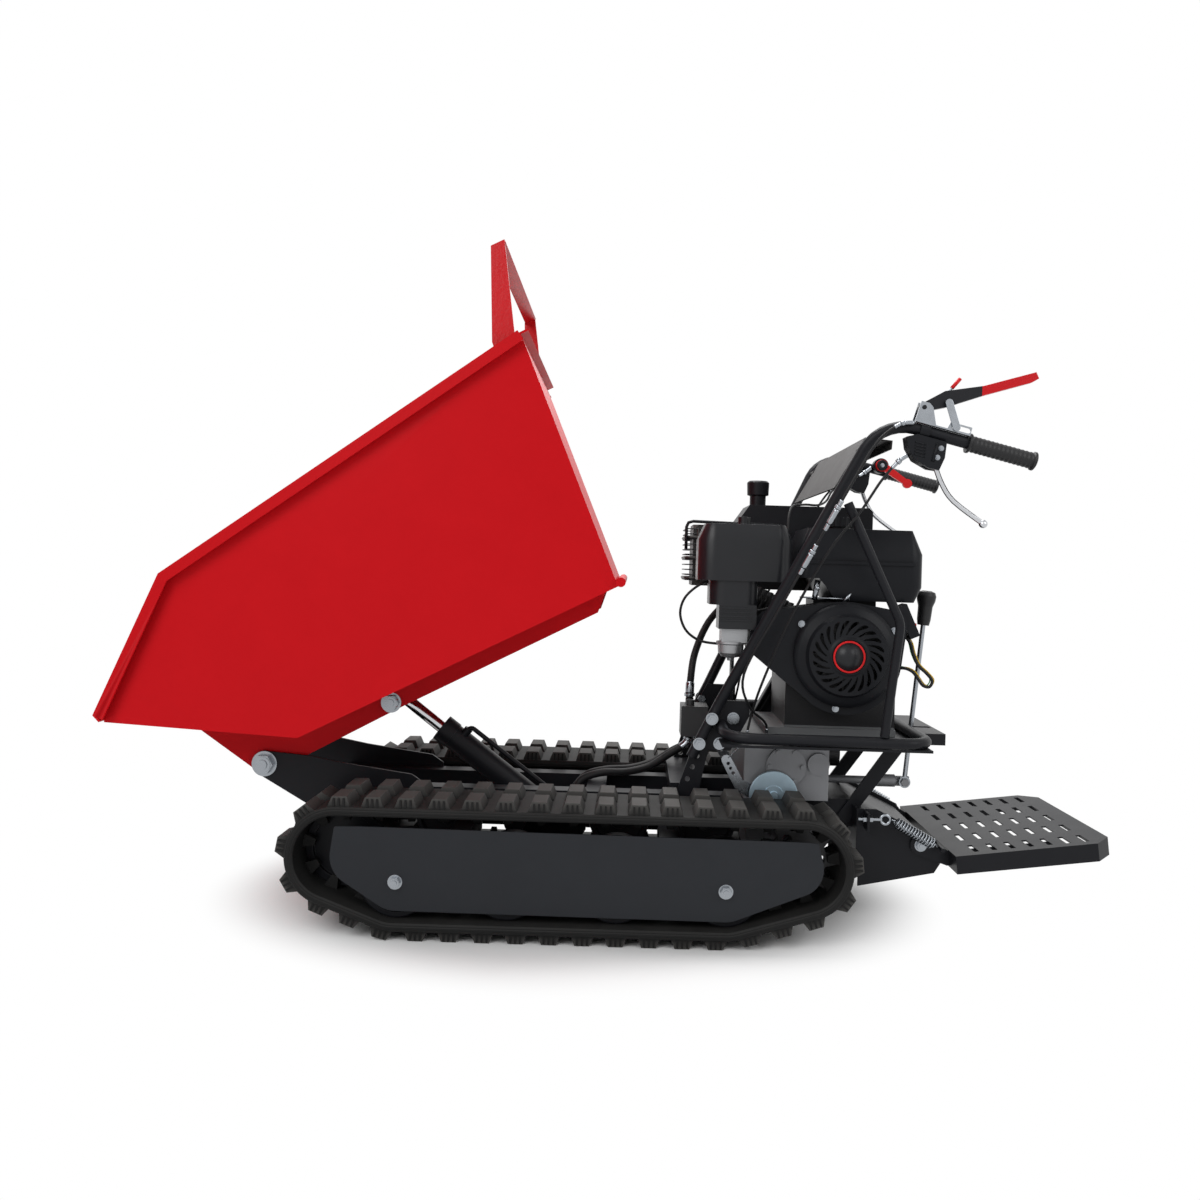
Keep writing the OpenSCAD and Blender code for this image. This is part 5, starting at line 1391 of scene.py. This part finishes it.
class CARRIER_OT_fittings(bpy.types.Operator):
    """Makes the zinc disc on the gearbox"""

    bl_idname = "carrier.fittings"
    bl_label = "Fittings"

    def execute(self, context):
        profile = [
            (0.0484, 0.0), (0.0484, 0.0056), (0.0474, 0.0064), (0.0300, 0.0064), (0.0290, 0.0061),
            (0.0200, 0.0061), (0.0195, 0.0078), (0.0092, 0.0078), (0.0086, 0.0120), (0.0005, 0.0120),
        ]
        disc = lathe("gearbox_disc", profile, (0.304, -0.146, 0.245), OUT_NEAR, blue_zinc())
        round_edges(disc, 0.0003)
        settle(plain_mesh(disc, "gearbox_disc"), CHASSIS, "bolt_zinc")
        return {"FINISHED"}


GUARD_LOW = (0.124, 0.016, 0.667)
GUARD_HIGH = (0.233, 0.170, 0.777)
GUARD_WIRES = 11
GUARD_CORNER = 0.014
GUARD_WIRE_R = 0.0012
GUARD_BAR_R = 0.0034


class CARRIER_OT_guard(bpy.types.Operator):
    """Makes the wires and the top bar of the muffler guard"""

    bl_idname = "carrier.guard"
    bl_label = "Muffler guard"

    def execute(self, context):
        x0, y0, z0 = GUARD_LOW
        x1, y1, z1 = GUARD_HIGH
        loop = []
        for x, y, first in ((x1, y1, 0), (x0, y1, 90), (x0, y0, 180), (x1, y0, 270)):
            middle_x = x - GUARD_CORNER if x == x1 else x + GUARD_CORNER
            middle_y = y - GUARD_CORNER if y == y1 else y + GUARD_CORNER
            for k in range(5):
                turn = math.radians(first + 22.5 * k)
                way = Vector((math.cos(turn), math.sin(turn), 0))
                loop.append(Vector((middle_x, middle_y, z0)) + GUARD_CORNER * way)
        wire = tube_mesh("guard_wires", loop + loop[:1], GUARD_WIRE_R, black_paint(), 8)
        row(wire, GUARD_WIRES, (0, 0, (z1 - z0) / (GUARD_WIRES - 1)), CHASSIS, "frame_black")
        corner = Vector((x0, y0, z1 + 0.016))
        bend = [(0, -0.060), (0, -0.012), (0.004, -0.003), (0.014, 0)]
        route = [corner + Vector((x, 0, z)) for x, z in bend]
        route.append(Vector((x1 + 0.090, y0, z1 + 0.012)))
        settle(tube_mesh("guard_bar", route, GUARD_BAR_R, black_paint(), 8), CHASSIS, "frame_black")
        return {"FINISHED"}


BAR_AT = Vector((0.530, 0, 0.960))
BAR_SLOPE = math.atan2(68.8, 281)
HOUSING_Y = 0.319
THROTTLE = Vector((0.5999, 0.260, 0.9511))


def on_bar(u, v, y):
    """Place from distances along and across the handlebar end."""
    along = Vector((math.cos(BAR_SLOPE), 0, -math.sin(BAR_SLOPE)))
    across = Vector((math.sin(BAR_SLOPE), 0, math.cos(BAR_SLOPE)))
    return BAR_AT + u * along + v * across + Vector((0, y, 0))


class CARRIER_OT_trim(bpy.types.Operator):
    """Makes the ribs and screws of the lever housings and the throttle hub"""

    bl_idname = "carrier.trim"
    bl_label = "Lever trim"

    def execute(self, context):
        for tag, side in SIDES:
            y = side * HOUSING_Y
            ends = [on_bar(u, -0.026, y) for u in (-0.004, 0.016)]
            rib = tube_mesh(f"housing_ribs_{tag}", ends, 0.0017, plastic(), 8)
            row(rib, 5, on_bar(0.0010, -0.0056, 0) - BAR_AT, CHASSIS, "engine_black")
            ends = [on_bar(0.036, v, y) for v in (-0.018, -0.052)]
            plate = tube_mesh(f"housing_plate_{tag}", ends, 0.0030, plastic(), 6)
            settle(plate, CHASSIS, "engine_black")
            places = [on_bar(0.0447, -0.0252, y), on_bar(0.0425, -0.0432, y)]
            bolts(f"housing_screws_{tag}", places, (0, side, 0), 0.0040, 0.0030, CHASSIS)
        ring = [
            (0.0052, 0.0), (0.0128, 0.0), (0.0128, 0.0026), (0.0116, 0.0036), (0.0052, 0.0036), (0.0052, 0.0),
        ]
        hub = lathe("throttle_hub", ring, THROTTLE, OUT_NEAR, plastic())
        settle(hub, "throttle_body", "engine_black")
        bolts("throttle_screw", [THROTTLE + Vector((0, -0.002, 0))], OUT_NEAR, 0.0042, 0.0030, CHASSIS)
        return {"FINISHED"}


class CARRIER_PT_panel(bpy.types.Panel):
    """Lists the carrier's pieces and settings"""

    bl_idname = "CARRIER_PT_panel"
    bl_label = "Tracked carrier"
    bl_space_type = "VIEW_3D"
    bl_region_type = "UI"
    bl_category = "Carrier"

    def draw(self, context):
        for step in STEPS:
            self.layout.operator(step.bl_idname)
        for holder, group in (
            (context.scene.carrier_sizes, CarrierSizes),
            (context.scene.carrier_colours, CarrierColours),
            (context.scene.carrier_stage, CarrierStage),
        ):
            for name in group.__annotations__:
                self.layout.prop(holder, name)


STEPS = [
    CARRIER_OT_stage,
    CARRIER_OT_cords,
    CARRIER_OT_harness,
    CARRIER_OT_lead,
    CARRIER_OT_finishes,
    CARRIER_OT_tracks,
    CARRIER_OT_springs,
    CARRIER_OT_recoil,
    CARRIER_OT_bolts,
    CARRIER_OT_ferrules,
    CARRIER_OT_fittings,
    CARRIER_OT_latch,
    CARRIER_OT_linkage,
    CARRIER_OT_guard,
    CARRIER_OT_trim,
]
GROUPS = {"carrier_colours": CarrierColours, "carrier_sizes": CarrierSizes, "carrier_stage": CarrierStage}


def register():
    for group in GROUPS.values():
        bpy.utils.register_class(group)
    for name, group in GROUPS.items():
        setattr(bpy.types.Scene, name, bpy.props.PointerProperty(type=group))
    for step in STEPS:
        bpy.utils.register_class(step)
    bpy.utils.register_class(CARRIER_PT_panel)


def unregister():
    bpy.utils.unregister_class(CARRIER_PT_panel)
    for step in reversed(STEPS):
        bpy.utils.unregister_class(step)
    for name, group in GROUPS.items():
        delattr(bpy.types.Scene, name)
        bpy.utils.unregister_class(group)


def main():
    register()
    for step in STEPS:
        family, action = step.bl_idname.split(".")
        getattr(getattr(bpy.ops, family), action)()


if __name__ == "__main__":
    main()
